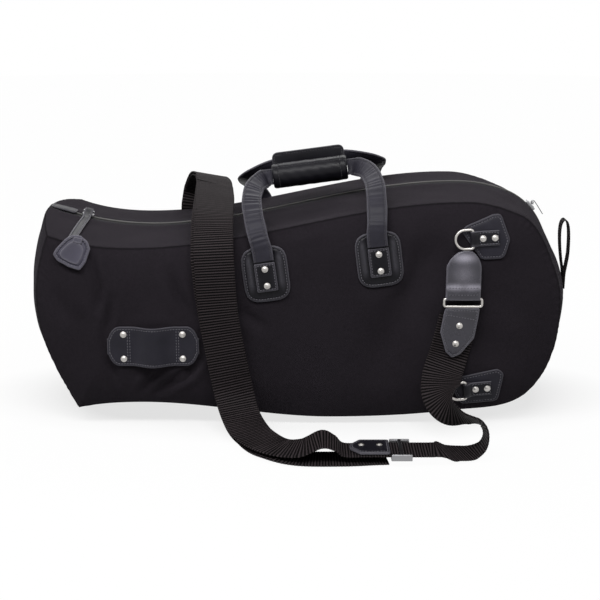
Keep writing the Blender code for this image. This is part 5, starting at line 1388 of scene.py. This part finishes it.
def build_side_grip(sizes):
    """Bowed leather band with rounded ends, stitched round its edge and across both ends."""
    seat = panel_seat(-1, -0.187, 0.110)
    half_long, half_tall, round_end = 0.0585, 0.02575, 0.016
    low, thick, bow, bow_half = 0.0017, 0.0025, 0.0110, 0.029
    u = half_long * np.sin(np.linspace(-1, 1, 61) * math.pi / 2)
    past = np.maximum(0, np.abs(u) - (half_long - round_end)) / round_end
    wide = half_tall * np.sqrt(np.maximum(0.16, 1 - past**2))
    lower, upper = np.stack([u, -wide], axis=1), np.stack([u, wide], axis=1)
    shape = round_corners(np.vstack([lower, upper[::-1]]), 0.003, 2)

    def lay(u, v, h):
        """Bowed out in its middle by a squared cosine."""
        u, v, h = np.broadcast_arrays(u, v, h)
        arch = np.cos(math.pi / 2 * u / bow_half) ** 2
        return seat.at(u, v, low + bow * np.where(np.abs(u) < bow_half, arch, 0) + h)

    spine = ((-0.040, 0), (0.040, 0))
    band = plate(shape, lay, 0.0, thick, 0.0010, 0.0032, 0.0005, 0.0, spine)
    add_piece("leather_carry_grip", band, "smooth leather", "front_half", "carry_grip")
    sewn = [plate_stitches(shape, lay, 0.0023, sizes, 0.0032)]
    for u in (-0.0325, -0.0295, 0.0295, 0.0325):
        sewn.append(run_stitches([(u, -0.021), (u, 0.021)], lay, 0.0024, sizes))
    add_piece("carry_grip_stitches", joined(sewn), "thread", "front_half")
    for word, end in (("left", -1), ("right", 1)):
        heads = [rivet(seat, end * 0.0375, v, low + thick, sizes) for v in (-0.016, 0.016)]
        name = f"carry_grip_rivets_{word}"
        add_piece(f"nickel_carry_grip_{word}", joined(heads), "nickel", "front_half", name)


def ring_outline():
    """D shape about the bar at u = 0, its bow towards -u."""
    arc = np.radians(np.linspace(90, 270, 25))
    bow = np.stack([-0.0100 + 0.0120 * np.cos(arc), 0.0120 * np.sin(arc)], axis=1)
    start = [(0, -0.0092), (0, 0.0092), (-0.0006, 0.0110), (-0.0024, 0.0120)]
    points = [*start, *bow, (-0.0024, -0.0120), (-0.0006, -0.0110)]
    return evenly(np.array(points), 0.0009)


RING_TAB_WIDTH = 0.019


def ring_tab_rows(seat):
    """Route of the tab that holds a ring: up from its rivets, round the ring's bar and back."""
    bend = 0.0029
    turns = np.radians(np.linspace(262, 92, 15))
    curl = np.stack([bend * np.cos(turns), RING_LIFT + bend * np.sin(turns)], axis=1)
    under = [(0.0330, 0.00475), (0.0240, 0.00475), (0.0150, 0.00475), (0.0080, 0.00468)]
    under += [(0.0038, 0.00445)]
    over = [(0.0034, 0.0090), (0.0066, 0.0069), (0.0105, 0.0060), (0.0150, 0.00585)]
    over += [(0.0240, 0.00585), (0.0330, 0.00585)]
    u, n = np.vstack([under, curl, over]).T
    spots = seat.at(u, 0, n)
    return smooth_route(np.hstack([spots, np.broadcast_to(seat.v, spots.shape)]), 0.0008)


def build_ring_set(prefix, seat, corners, radius, ring, body, ring_body, sizes):
    """Patch that follows the panel, tab folded round the ring's bar, rivets and the ring."""
    patch = round_corners(corners, radius)
    name = f"{prefix}_ring_patch"
    shape = plate(patch, seat.on_panel, PATCH_LOW, PATCH_HIGH, 0.0012, 0.0034, 0.0005, 0.0003)
    add_piece(f"leather_{name}", shape, "smooth leather", body, name)
    section = strap_profile(RING_TAB_WIDTH, 0.0011, 0.0026)
    marks = strap_marks(section, RING_TAB_WIDTH)
    name = f"{prefix}_ring_tab"
    shape = ribbon(ring_tab_rows(seat), section, marks=marks)
    add_piece(f"leather_{name}", shape, "leather", body, name)
    sewn = [plate_stitches(patch, seat.on_panel, PATCH_HIGH - 0.0003, sizes, 0.0034)]
    line = round_corners(box_corners(0.0225, 0.0145, 0.0202, 0), 0.001, 2)
    u, v = evenly(line, 0.0012).T
    top = seat.at(u, v, np.maximum(TAB_HIGH, TAB_HIGH + (0.0095 - u) * 0.35))
    sewn.append(stitches(top, np.broadcast_to(seat.n, top.shape), sizes))
    add_piece(f"{prefix}_ring_stitches", joined(sewn), "thread", body)
    heads = [rivet(seat, u, 0, TAB_HIGH, sizes) for u in (0.0125, 0.0275)]
    add_rivets(f"{prefix}_ring_rivets", heads, body)
    shape = wire(seat.at(ring[:, 0], ring[:, 1], RING_LIFT), WIRE)
    add_piece(f"nickel_{prefix}_ring", shape, "nickel", ring_body, f"{prefix}_ring")


UPPER_SEAT, LOWER_SEAT = panel_seat(-1, 0.2165, 0.2485, 3.0), panel_seat(-1, 0.2130, 0.0520, 5.0)
REAR_SEAT = panel_seat(1, -0.149, 0.208, -90.0)


def build_ring_sets(sizes):
    """The upper and lower ring sets in front and the strap's set behind."""
    upper = [(-16, 13.5), (10, -27.5), (39, -27.5), (47.5, -4), (37.5, 28.5), (27, 28.5)]
    lower = [(-16, -2), (-8.5, 16.5), (43, 23.5), (50.5, 16.5), (41, -22.5), (-6, -22.5)]
    rear = [(-16, -2), (-8.5, 22.5), (43, 22.5), (48.5, 0), (43, -22.5), (-8.5, -22.5)]
    upper, lower, rear = (np.array(corners) / 1000 for corners in (upper, lower, rear))
    front, ring = "front_half", ring_outline()
    build_ring_set("upper", UPPER_SEAT, upper, 0.010, ring, front, "upper_ring", sizes)
    build_ring_set("lower", LOWER_SEAT, lower, 0.008, ring, front, "lower_ring", sizes)
    corners = [(0, -0.028), (0, 0.028), (-0.017, 0.028), (-0.017, -0.028)]
    ring = evenly(round_corners(corners, 0.003), 0.001)
    build_ring_set("rear", REAR_SEAT, rear, 0.008, ring, "rear_half", "rear_half", sizes)


# The hanger, the rectangular ring and the pointed end hang in one plane from the upper ring:
# the plane's seat, and in it the hanger's middle, half its width, its top and its foot.
HANG = Seat(UPPER_SEAT.at(0, 0, RING_LIFT).reshape(3), (1, 0, 0), (0, 0, 1), (0, -1, 0))
HANGER_MIDDLE, HANGER_HALF = -0.0105, 0.022
HANGER_TOP = -0.0120 - WIRE - 3 * GAP
HANGER_FOOT = HANGER_TOP - 0.060
BUCKLE_WIDTH, BUCKLE_HEIGHT = 0.048, 0.010
BUCKLE_TOP = HANGER_FOOT - GAP - WIRE
BUCKLE_FOOT = BUCKLE_TOP - BUCKLE_HEIGHT
# Turn of the pointed strap end in its plane, in degrees.
POINT_LEAN = 10.0


def build_hanger(sizes):
    """Hanger: an arch on a square foot, with two runs of stitches across the foot."""
    centre, half, top, foot = HANGER_MIDDLE, HANGER_HALF, HANGER_TOP, HANGER_FOOT
    neck_shift, springing = 0.003, top - 0.030
    turns = np.radians(np.linspace(164, 16, 25))
    u = np.clip(centre + half * np.cos(turns) * 1.04, centre - half, centre + half)
    u = u + neck_shift * np.sin(turns) ** 2
    arch = np.stack([u, springing + (top - springing) * np.sin(turns)], axis=1)
    left, right = ([(centre + side * half, foot - 0.0041)] for side in (-1, 1))
    shape = np.vstack([left, arch, right])[::-1]
    spine = ((centre, top - 0.014), (centre, foot + 0.016))

    def lay(u, v, h):
        """Bowed across, but flat at the top."""
        bow = np.cos(np.clip((u - centre) / half, -1, 1) * 1.5) * smooth((top - v) / 0.02)
        return HANG.at(u, v, h + 0.0010 * bow)

    def painted_highlight(u, v):
        """Painted highlights: the top of the arch, the middle and a band at the foot."""
        u = u - centre
        crown = bell(u, 0, 0.013) * bell(v, top - 0.009, 0.0055)
        middle = bell(u, 0, 0.012) * bell(v, top - 0.030, 0.012)
        band = bell(u, 0, 0.030) * bell(v, foot + 0.0135, 0.0038) * (1 - 0.45 * bell(u, 0, 0.007))
        return 0.75 * crown + 0.25 * middle + 0.80 * band

    looks = 0.0012, 0, 0, 0.0003, spine
    hanger = plate(shape, lay, -0.0020, 0.0020, *looks, painted_highlight=painted_highlight, rim_wear=0.25)
    add_piece("leather_hanger_tab", hanger, "shiny leather", "upper_ring", "hanger_tab")
    sewn = []
    for v in (foot + 0.0035, foot + 0.0125):
        ends = [(centre - 0.019, v), (centre + 0.019, v)]
        sewn.append(run_stitches(ends, lay, 0.0021, sizes))
    add_piece("hanger_stitches", joined(sewn), "thread", "upper_ring")


def build_buckle_ring():
    """Rectangular ring below the hanger."""
    corners = box_corners(
        BUCKLE_WIDTH, BUCKLE_HEIGHT, HANGER_MIDDLE, (BUCKLE_TOP + BUCKLE_FOOT) / 2
    )
    u, v = evenly(round_corners(corners, 0.003), 0.001).T
    ring = wire(HANG.at(u, v, 0), WIRE)
    add_piece("nickel_buckle_ring", ring, "nickel", "upper_ring", "buckle_ring")


def build_strap_point(sizes):
    """Pointed end of the shoulder strap, stitched all round and across its head, with its two
    rivets."""
    half, top = HANGER_HALF, BUCKLE_FOOT - WIRE - GAP
    corners = [(-half, 0), (-half, -0.036), (-0.0105, -0.060), (-0.001, -0.0665)]
    corners += [(0.0085, -0.060), (half, -0.036), (half, 0)]
    shape = round_corners(corners[::-1], 0.0025)
    spine = ((0, -0.016), (0, -0.048))
    c, s = heading(POINT_LEAN)

    def lay(u, v, h):
        """Leaning sideways, but level at the ring."""
        up = top + v * c - u * s * smooth(-v / 0.012)
        return HANG.at(HANGER_MIDDLE + u * c + v * s, up, h)

    looks = 0.0009, 0.0030, 0.0005, 0.0002, spine
    point = plate(shape, lay, -0.0015, 0.0015, *looks, rim_wear=0.2)
    add_piece("leather_strap_point", point, "shiny leather", "front_half", "strap_point")
    sewn = [plate_stitches(shape, lay, 0.0013, sizes, 0.0030)]
    sewn.append(run_stitches([(-0.018, -0.012), (0.018, -0.012)], lay, 0.0016, sizes))
    add_piece("strap_point_stitches", joined(sewn), "thread", "front_half")
    heads = [
        rivet(HANG, HANGER_MIDDLE - v * s, top - v * c, 0.0015, sizes) for v in (0.023, 0.047)
    ]
    add_rivets("strap_point_rivets", heads, "front_half")


def build_strap_end(sizes):
    """The hanger, the rectangular ring and the pointed end."""
    build_hanger(sizes)
    build_buckle_ring()
    build_strap_point(sizes)


# Shoulder strap

WEB_WIDTH, WEB_THICK = 0.050, 0.0022
# Straight run of the strap in front of the bag, and the keeper and the adjuster frame on it.
RUN_Y, RUN_Z = -0.272, 0.0125
KEEPER_X, FRAME_X = 0.084, 0.1215
# Place and width direction along each layer, from the top of the bag.
OUTER_ROUTE = [
    (-0.115, -0.0004, 0.2990, 0.94, -0.24, -0.24), (-0.111, -0.060, 0.2910, 0.96, -0.18, -0.18),
    (-0.110, -0.120, 0.2720, 0.98, -0.10, -0.10), (-0.1085, -0.156, 0.2450, 0.99, 0, 0.05),
    (-0.1070, -0.1660, 0.2150, 0.99, 0, 0.10), (-0.1030, -0.1660, 0.1550, 0.98, 0, 0.16),
    (-0.094, -0.1660, 0.1000, 0.98, 0, 0.18), (-0.084, -0.1690, 0.0520, 0.97, 0.15, 0.18),
    (-0.074, -0.1920, 0.0280, 0.80, 0.55, 0.22), (-0.058, -0.2280, 0.0175, 0.42, 0.88, 0.18),
    (-0.030, -0.2600, 0.0130, 0.08, 0.99, 0.08), (0.000, -0.2720, 0.0150, 0, 1, 0.10),
    (0.026, RUN_Y, 0.0260, 0, 1, 0.12), (0.042, RUN_Y, 0.0210, 0, 1, 0.05),
    (0.053, RUN_Y, RUN_Z, 0, 1, 0), (0.080, RUN_Y, RUN_Z, 0, 1, 0),
    (0.110, RUN_Y, RUN_Z, 0, 1, 0), (0.135, RUN_Y, RUN_Z, 0, 1, 0),
    (0.155, RUN_Y, RUN_Z, 0, 1, 0), (0.169, RUN_Y, RUN_Z, 0, 1, 0),
    (0.185, -0.2660, 0.0065, 0, 1, 0),
    (0.208, -0.2600, 0.0050, 0, 1, 0), (0.2225, -0.2580, 0.0125, 0, 1, -0.10),
    (0.2265, -0.2560, 0.0270, 0, 0.98, -0.20), (0.2200, -0.2520, 0.0400, -0.05, 0.95, -0.30),
    (0.2010, -0.2400, 0.0450, -0.15, 0.90, -0.40), (0.1845, -0.2220, 0.0500, -0.45, 0.75, -0.45),
    (0.1770, -0.1960, 0.0600, -0.72, 0.60, -0.10), (0.1800, -0.1700, 0.0740, -0.88, 0.38, 0.25),
    (0.1880, -0.1535, 0.0920, -0.95, 0.06, 0.28), (0.1950, -0.1516, 0.1180, -0.96, 0, 0.24),
    (0.2020, -0.1516, 0.1480, -0.99, 0, 0.08),
]
INNER_ROUTE = [
    (-0.1155, -0.0004, 0.2960, 0.94, -0.24, -0.24), (-0.1115, -0.060, 0.2880, 0.96, -0.18, -0.18),
    (-0.110, -0.1185, 0.2693, 0.98, -0.10, -0.10), (-0.109, -0.1535, 0.2435, 0.99, 0, 0.05),
    (-0.107, -0.1630, 0.2150, 0.99, 0, 0.10), (-0.098, -0.1630, 0.1550, 0.98, 0, 0.16),
    (-0.086, -0.1630, 0.1000, 0.98, 0, 0.18), (-0.078, -0.1630, 0.0500, 0.97, 0.15, 0.18),
    (-0.070, -0.1850, 0.0200, 0.80, 0.55, 0.18), (-0.055, -0.2280, 0.0080, 0.42, 0.88, 0.05),
    (-0.030, -0.2630, 0.0050, 0.08, 0.99, 0), (0.000, -0.2760, 0.0030, 0, 1, 0),
    (0.050, -0.2780, 0.0030, 0, 1, 0), (0.085, -0.2740, 0.0030, 0, 1, 0),
    (0.104, RUN_Y, 0.0030, 0, 1, 0),
]
REAR_UPPER = [
    (-0.115, 0.0004, 0.2990, 0.94, -0.24, -0.24), (-0.121, 0.060, 0.3000, 0.95, -0.20, -0.20),
    (-0.133, 0.120, 0.2900, 0.97, -0.10, -0.10), (-0.144, 0.1565, 0.2660, 0.99, 0, 0),
    (-0.1485, 0.1585, 0.2440, 1, 0.01, 0),
]
REAR_LOWER = [
    (-0.1485, 0.1500, 0.2420, 1, 0.01, 0), (-0.144, 0.1500, 0.2600, 0.99, 0, 0),
    (-0.133, 0.1170, 0.2860, 0.97, -0.10, -0.10), (-0.1215, 0.060, 0.2965, 0.95, -0.20, -0.20),
    (-0.1155, 0.0004, 0.2960, 0.94, -0.24, -0.24),
]
# How far left of its solid the inner layer lies, so that its edge shows as in the photograph.
INNER_LEFT = np.array([0.002, 0.003, 0.003, 0.004, 0.006, 0.008, 0.006, 0.003])
# How far the strap lies under its solids over the top of the bag.
TOP_DROP = 0.0045


def webbing_profile(width, thick):
    """Flat section with rounded, slightly fuller edges."""
    half, t = width / 2, thick / 2
    top = [(-half + 0.0006, t * 0.75), (-half + 0.0014, t), (-half + 0.0034, t)]
    top += [(-half + 0.0044, t * 0.86), (-0.6 * half, t * 0.90), (-0.3 * half, t * 0.90)]
    top += [(0, t * 0.91)]
    top += [(-x, y) for x, y in top[-2::-1]]
    return np.array(top + [(half, 0)] + [(-x, -y) for x, y in top] + [(-half, 0)])


def webbing_piece(name, points, body, sizes, width=WEB_WIDTH, thick=WEB_THICK):
    """Webbing: its thickness follows a rounded wave along the strap, one rib to each wave."""
    points = np.array(points, float)
    x, y, z = points[:, :3].T
    over_top = (x < 0) & (z > 0.262)
    points[:, 2] -= TOP_DROP * over_top * smooth((0.150 - np.abs(y)) / 0.080)
    rows = smooth_route(points, sizes.rib_pitch / 6)
    s = lengths(rows[:, :3])
    wave = np.sqrt(np.abs(np.sin(np.pi * s / sizes.rib_pitch)))
    out = 1 - sizes.rib_height / thick * 2 * (1 - wave)
    across = 1 + 0.006 * wave
    web = ribbon(rows, webbing_profile(width, thick), scale=np.stack([across, out], axis=1))
    add_piece(f"web_{name}", web, "webbing", body, name, sharp=70)


def build_webbing(sizes):
    """The three stretches of the shoulder strap."""
    webbing_piece("webbing_outer", OUTER_ROUTE, "front_half", sizes)
    inner = np.array(INNER_ROUTE)
    inner[1:9, 0] -= INNER_LEFT
    webbing_piece("webbing_inner", inner, "front_half", sizes)
    turn = np.radians(np.arange(150, 391, 30))
    radius = WIRE + 0.0005 + WEB_THICK / 2
    bend = REAR_SEAT.at(-radius * np.sin(turn) - 0.017, 0, RING_LIFT - radius * np.cos(turn))
    bend = np.hstack([bend, np.broadcast_to(REAR_SEAT.v, bend.shape)])
    webbing_piece("webbing_rear", np.vstack([REAR_UPPER, bend, REAR_LOWER]), "rear_half", sizes)


def build_finger_loop(sizes):
    """Webbing loop at the cross seam, both ends sewn in."""
    route = [(0.3555, 0.1560), (0.3560, 0.1760), (0.3530, 0.1960), (0.3508, 0.2150)]
    route += [(0.3500, 0.2330), (0.3515, 0.2450), (0.3555, 0.2500), (0.3600, 0.2450)]
    route += [(0.3622, 0.2300), (0.3622, 0.2050), (0.3600, 0.1880), (0.3583, 0.1760)]
    points = [(x, -0.021, z, 0, 1, 0) for x, z in [*route, (0.3577, 0.1560)]]
    webbing_piece("finger_loop", points, "finger_loop", sizes, 0.020, 0.0016)


def build_adjuster(sizes):
    """Leather keeper with two rivets, and the metal frame that the webbing runs through."""
    axes = (1, 0, 0), (0, 1, 0), (0, 0, 1)
    seat = Seat((KEEPER_X, RUN_Y, RUN_Z), *axes)
    low, high = 0.0023, 0.0053
    corners = [(-0.024, -0.006), (-0.012, -0.023), (0.024, -0.023)]
    corners += [(u, -v) for u, v in corners[::-1]]
    shape = round_corners(corners, 0.003)
    keeper = plate(shape, seat.at, low, high, 0.0009, 0.0030, 0.0005, 0.0003)
    add_piece("leather_keeper", keeper, "leather", "adjuster", "keeper")
    sewn = plate_stitches(shape, seat.at, high - 0.0002, sizes, 0.0030)
    add_piece("keeper_stitches", sewn, "thread", "adjuster")
    heads = [rivet(seat, u, 0.004, high, sizes) for u in (-0.010, 0.012)]
    add_rivets("keeper_rivets", heads, "adjuster")
    seat = Seat((FRAME_X, RUN_Y, RUN_Z), *axes)
    span = 0.02725
    side, bar = (0.025, 0.0035), (0.0045, 2 * span)
    bars = []
    for size, u, v, foot, top in (
        (side, 0, span, -0.004, 0.004), (side, 0, -span, -0.004, 0.004),
        (bar, -0.01025, 0, -0.004, -0.0016), (bar, 0.01025, 0, -0.004, -0.0016),
        (bar, 0, 0, 0.0016, 0.004),
    ):
        shape = round_corners(box_corners(*size, u, v), 0.0012, 4)
        bars.append(plate(shape, seat.at, foot, top, 0.0009, 0, 0, 0.0, step=0.0007))
    add_piece("metal_adjuster_frame", joined(bars), "dark metal", "adjuster", "adjuster_frame")


# Finishes and groups

# Leathers: finish, share of the leather's colour and of its edge's, roughness, size of the
# grain, gloss and coat.
LEATHERS = [
    ("leather", 1.0, 1.0, 0.30, 0.0011, 0.13, 0.0),
    ("strap leather", 2.4, 1.0, 0.50, 0.0014, 0.16, 0.0),
    ("grip leather", 0.75, 0.5, 0.36, 0.0012, 0.15, 0.0),
    # The shiny leather's edge share of 4.0 makes the highlights painted on the hanger light.
    ("shiny leather", 2.9, 4.0, 0.26, 0.0010, 0.40, 0.15),
    ("fob leather", 6.0, 1.2, 0.50, 0.0010, 0.18, 0.0),
    ("patch leather", 0.65, 1.0, 0.28, 0.0011, 0.12, 0.0),
    ("smooth leather", 2.1, 0.7, 0.42, 0.0011, 0.13, 0.0),
]


def make_finishes(sizes, colours):
    """All the materials."""
    pitch = sizes.weave_pitch
    sheen = {"Sheen Weight": 0.02, "Sheen Roughness": 0.5, "Sheen Tint": (0.80, 0.72, 0.85)}
    make_cloth("body cloth", tuple(colours.cloth), pitch, sheen)
    make_cloth("lining", tuple(colours.lining), pitch * 1.6, {"Sheen Weight": 0.1})
    make_cloth("zip tape", tuple(colours.tape), pitch, {"Sheen Weight": 0.1})
    make_webbing("webbing", tuple(colours.webbing), sizes.rib_pitch)
    for name, share, edge_share, *look in LEATHERS:
        base, edge = tint(colours.leather, share), tint(colours.leather_edge, edge_share)
        make_leather(name, base, edge, *look)
    make_thread("thread", tuple(colours.thread))
    make_thread("dark thread", tint(colours.thread, 0.35))
    make_thread("zip coil", tuple(colours.coil))
    make_metal("nickel", tuple(colours.nickel), 0.30)
    make_metal("dark metal", tuple(colours.dark_metal), 0.30)


def build_panels(sizes):
    """The padded panels, each with the lining behind it."""
    for word, side in (("front", -1), ("rear", 1)):
        dress_panel(word, side, sizes)
        dress_padding(word, side, sizes)


def build_gussets(sizes):
    """The bell cap, the bottom gusset and the strips beside the zip with their stitches."""
    hair = 0.013
    foot, end = AT["rim_foot"], AT["end"]
    add_band("bell_end_cap", foot + hair, ROWS - hair, None, "front_half", sizes)
    add_band("bottom_gusset", end + hair, foot - hair, None, "front_half", sizes)
    for word, side in (("front", -1), ("rear", 1)):
        body = f"{word}_half"
        rows = add_band(f"top_gusset_{word}", hair, end - hair, side * TAPE_HALF, body, sizes)
        rows = rows[6:-6, 0]
        line, under = (
            gusset(rows, side * (TAPE_HALF + 0.0034), depth) for depth in (0.0006, 0.0016)
        )
        sewn = stitches(line, unit(line - under), sizes, False)
        add_piece(f"top_stitches_{word}", sewn, "dark thread", body, slot="body_cloth")


def build_zip(sizes):
    """The zip's tapes and teeth, and the leather over its left end."""
    build_zip_half(-1, "front_half", "front", sizes)
    build_zip_half(1, "rear_half", "rear", sizes)
    build_end_tab(sizes)


def build_handles(sizes):
    """The carry straps and the grip."""
    build_carry_straps(sizes)
    build_grip(sizes)


# Stage

WHITE = (1.0, 1.0, 1.0, 1.0)
# Name, place, width and height in metres, and power in watts of each lamp.
LAMPS = [
    ("front lamp", (-0.20, -0.85, 1.15), (1.4, 0.35), 16.0),
    ("rear lamp", (0.10, 0.90, 1.30), (1.4, 0.5), 8.0),
    ("left lamp", (-1.60, -0.60, 1.10), (0.5, 0.8), 5.0),
    ("right lamp", (1.60, -0.90, 1.10), (0.5, 0.8), 4.0),
]
LAMP_TARGET = (0, -0.05, 0.12)
CAMERA_TILT, CAMERA_AWAY, CAMERA_TARGET_Z = math.radians(13.6), 1.90, 0.133
LENS, SENSOR = 82.6, 36.0


def build_floor(colours):
    """Pale disc. To the eye it glows almost white, and less so under the bag, within an
    ellipse; to everything else it is a plain pale surface."""
    radius = np.concatenate([[0.05], np.linspace(0.4, 6.0, 30)])
    ring = np.pad(circle(64), ((0, 0), (0, 1)))
    top = radius[:, None, None] * ring
    bottom = top[[-1, 0]] - np.array([0, 0, 0.01])
    shape = loft(np.concatenate([bottom[::-1], top[::-1]]))
    recipe = Recipe("floor", {"Roughness": 0.95, "Specular IOR Level": 0.1})
    pale = tuple(colours.floor)
    recipe.set("Base Color", recipe.blend(recipe.white_to_eye(), tint(pale, 0.5), pale))
    place = recipe.place()
    x, y = (recipe.node("ShaderNodeSeparateXYZ", {}, {0: place}, axis) for axis in (0, 1))
    far = ((x * x + (y + 0.10) * (y + 0.10)) ** 0.5 - 0.40) / 0.35
    under = (((x / 0.40) ** 2.0 + (y / 0.19) ** 2.0) ** 0.5 - 0.82) / 0.34
    share = recipe.white_to_eye() * (under.clamped() * 0.23 + far.clamped() * 0.02 + 0.74)
    glow = recipe.node("ShaderNodeEmission", {}, {"Strength": 1.0})
    plain = Value(recipe, recipe.shader.outputs[0])
    recipe.show(share, plain, glow, "Material Output")
    mesh = bpy.data.meshes.new("floor")
    faces = shape.quads.tolist() + [cap.tolist() for cap in shape.caps]
    mesh.from_pydata(shape.points.tolist(), [], faces)
    mesh.materials.append(recipe.material)
    floor = bpy.data.objects.new("floor", mesh)
    bpy.context.scene.collection.objects.link(floor)


def build_world():
    """White to the eye, and a weak even light to everything else."""
    world = bpy.data.worlds.new("studio")
    world.use_nodes = True
    bpy.context.scene.world = world
    tree = Nodes(world.node_tree)
    light = tree.nodes["Background"]
    light.inputs["Color"].default_value = WHITE
    light.inputs["Strength"].default_value = 0.07
    shown = tree.node("ShaderNodeBackground", {}, {"Color": WHITE})
    tree.show(tree.white_to_eye(), Value(tree, light.outputs[0]), shown, "World Output")


def build_stage(colours):
    """The floor, the world, the lamps and the camera."""
    scene = bpy.context.scene
    build_floor(colours)
    build_world()
    for name, place, size, power in LAMPS:
        lamp = bpy.data.lights.new(name, "AREA")
        lamp.shape = "RECTANGLE"
        lamp.size, lamp.size_y = size
        lamp.energy = power
        thing = bpy.data.objects.new(name, lamp)
        thing.location = place
        way = Vector(LAMP_TARGET) - Vector(place)
        thing.rotation_euler = way.to_track_quat("-Z", "Y").to_euler()
        scene.collection.objects.link(thing)
    camera = bpy.data.cameras.new("camera")
    camera.lens, camera.sensor_width = LENS, SENSOR
    eye = bpy.data.objects.new("camera", camera)
    rise = CAMERA_AWAY * math.sin(CAMERA_TILT)
    eye.location = (0, -CAMERA_AWAY * math.cos(CAMERA_TILT), CAMERA_TARGET_Z + rise)
    eye.rotation_euler = (math.pi / 2 - CAMERA_TILT, 0, 0)
    scene.collection.objects.link(eye)
    scene.camera = eye
    scene.view_settings.view_transform = "Standard"


# Operators


class MakeFinishes(bpy.types.Operator):
    """Makes the materials"""

    bl_idname = "gigbag.finishes"
    bl_label = "Finishes"

    def execute(self, context):
        make_finishes(context.scene.gigbag_sizes, context.scene.gigbag_colours)
        return {"FINISHED"}


class BuildPanels(bpy.types.Operator):
    """Builds the padded panels and the lining behind them"""

    bl_idname = "gigbag.panels"
    bl_label = "Panels"

    def execute(self, context):
        build_panels(context.scene.gigbag_sizes)
        return {"FINISHED"}


class BuildGussets(bpy.types.Operator):
    """Builds the bell cap, the bottom gusset and the strips beside the zip"""

    bl_idname = "gigbag.gussets"
    bl_label = "Gussets"

    def execute(self, context):
        build_gussets(context.scene.gigbag_sizes)
        return {"FINISHED"}


class BuildZip(bpy.types.Operator):
    """Builds the zip's tapes, teeth and end cover"""

    bl_idname = "gigbag.zip"
    bl_label = "Zip"

    def execute(self, context):
        build_zip(context.scene.gigbag_sizes)
        return {"FINISHED"}


class BuildPatches(bpy.types.Operator):
    """Builds the carry straps' patches, tabs and rivets"""

    bl_idname = "gigbag.patches"
    bl_label = "Strap patches"

    def execute(self, context):
        build_handle_patches(context.scene.gigbag_sizes)
        return {"FINISHED"}


class BuildHandles(bpy.types.Operator):
    """Builds the carry straps, the rolled grip and its flap"""

    bl_idname = "gigbag.handles"
    bl_label = "Carry straps"

    def execute(self, context):
        build_handles(context.scene.gigbag_sizes)
        return {"FINISHED"}


class BuildSideGrip(bpy.types.Operator):
    """Builds the side carry grip"""

    bl_idname = "gigbag.side_grip"
    bl_label = "Side grip"

    def execute(self, context):
        build_side_grip(context.scene.gigbag_sizes)
        return {"FINISHED"}


class BuildRings(bpy.types.Operator):
    """Builds the three ring sets"""

    bl_idname = "gigbag.rings"
    bl_label = "Ring sets"

    def execute(self, context):
        build_ring_sets(context.scene.gigbag_sizes)
        return {"FINISHED"}


class BuildStrapEnd(bpy.types.Operator):
    """Builds the hanger, the buckle ring and the pointed leather"""

    bl_idname = "gigbag.strap_end"
    bl_label = "Strap end"

    def execute(self, context):
        build_strap_end(context.scene.gigbag_sizes)
        return {"FINISHED"}


class BuildSliders(bpy.types.Operator):
    """Builds the zip sliders with their fob and pull"""

    bl_idname = "gigbag.sliders"
    bl_label = "Zip sliders"

    def execute(self, context):
        build_sliders(context.scene.gigbag_sizes)
        return {"FINISHED"}


class BuildWebbing(bpy.types.Operator):
    """Builds the shoulder webbing"""

    bl_idname = "gigbag.webbing"
    bl_label = "Shoulder webbing"

    def execute(self, context):
        build_webbing(context.scene.gigbag_sizes)
        return {"FINISHED"}


class BuildFingerLoop(bpy.types.Operator):
    """Builds the finger loop"""

    bl_idname = "gigbag.finger_loop"
    bl_label = "Finger loop"

    def execute(self, context):
        build_finger_loop(context.scene.gigbag_sizes)
        return {"FINISHED"}


class BuildAdjuster(bpy.types.Operator):
    """Builds the strap's keeper and adjuster frame"""

    bl_idname = "gigbag.adjuster"
    bl_label = "Strap adjuster"

    def execute(self, context):
        build_adjuster(context.scene.gigbag_sizes)
        return {"FINISHED"}


class BuildStage(bpy.types.Operator):
    """Builds the floor, the world, the lamps and the camera"""

    bl_idname = "gigbag.stage"
    bl_label = "Stage"

    def execute(self, context):
        build_stage(context.scene.gigbag_colours)
        return {"FINISHED"}


STEPS = [
    MakeFinishes, BuildPanels, BuildGussets, BuildZip, BuildPatches, BuildHandles, BuildSideGrip,
    BuildRings, BuildStrapEnd, BuildSliders, BuildWebbing, BuildFingerLoop, BuildAdjuster,
    BuildStage,
]


class GigBagPanel(bpy.types.Panel):
    """Lists the steps and the values"""

    bl_idname = "VIEW3D_PT_gigbag"
    bl_label = "Gig Bag"
    bl_space_type, bl_region_type, bl_category = "VIEW_3D", "UI", "Gig Bag"

    def draw(self, context):
        for step in STEPS:
            self.layout.operator(step.bl_idname)
        for group in (context.scene.gigbag_sizes, context.scene.gigbag_colours):
            for key in group.__annotations__:
                self.layout.prop(group, key)


CLASSES = [GigBagSizes, GigBagColours, *STEPS, GigBagPanel]


def register():
    for item in CLASSES:
        bpy.utils.register_class(item)
    bpy.types.Scene.gigbag_sizes = PointerProperty(type=GigBagSizes)
    bpy.types.Scene.gigbag_colours = PointerProperty(type=GigBagColours)


def unregister():
    del bpy.types.Scene.gigbag_sizes, bpy.types.Scene.gigbag_colours
    for item in reversed(CLASSES):
        bpy.utils.unregister_class(item)


def main():
    """Registers the add-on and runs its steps."""
    register()
    for step in STEPS:
        group, name = step.bl_idname.split(".")
        getattr(getattr(bpy.ops, group), name)()


if __name__ == "__main__":
    main()
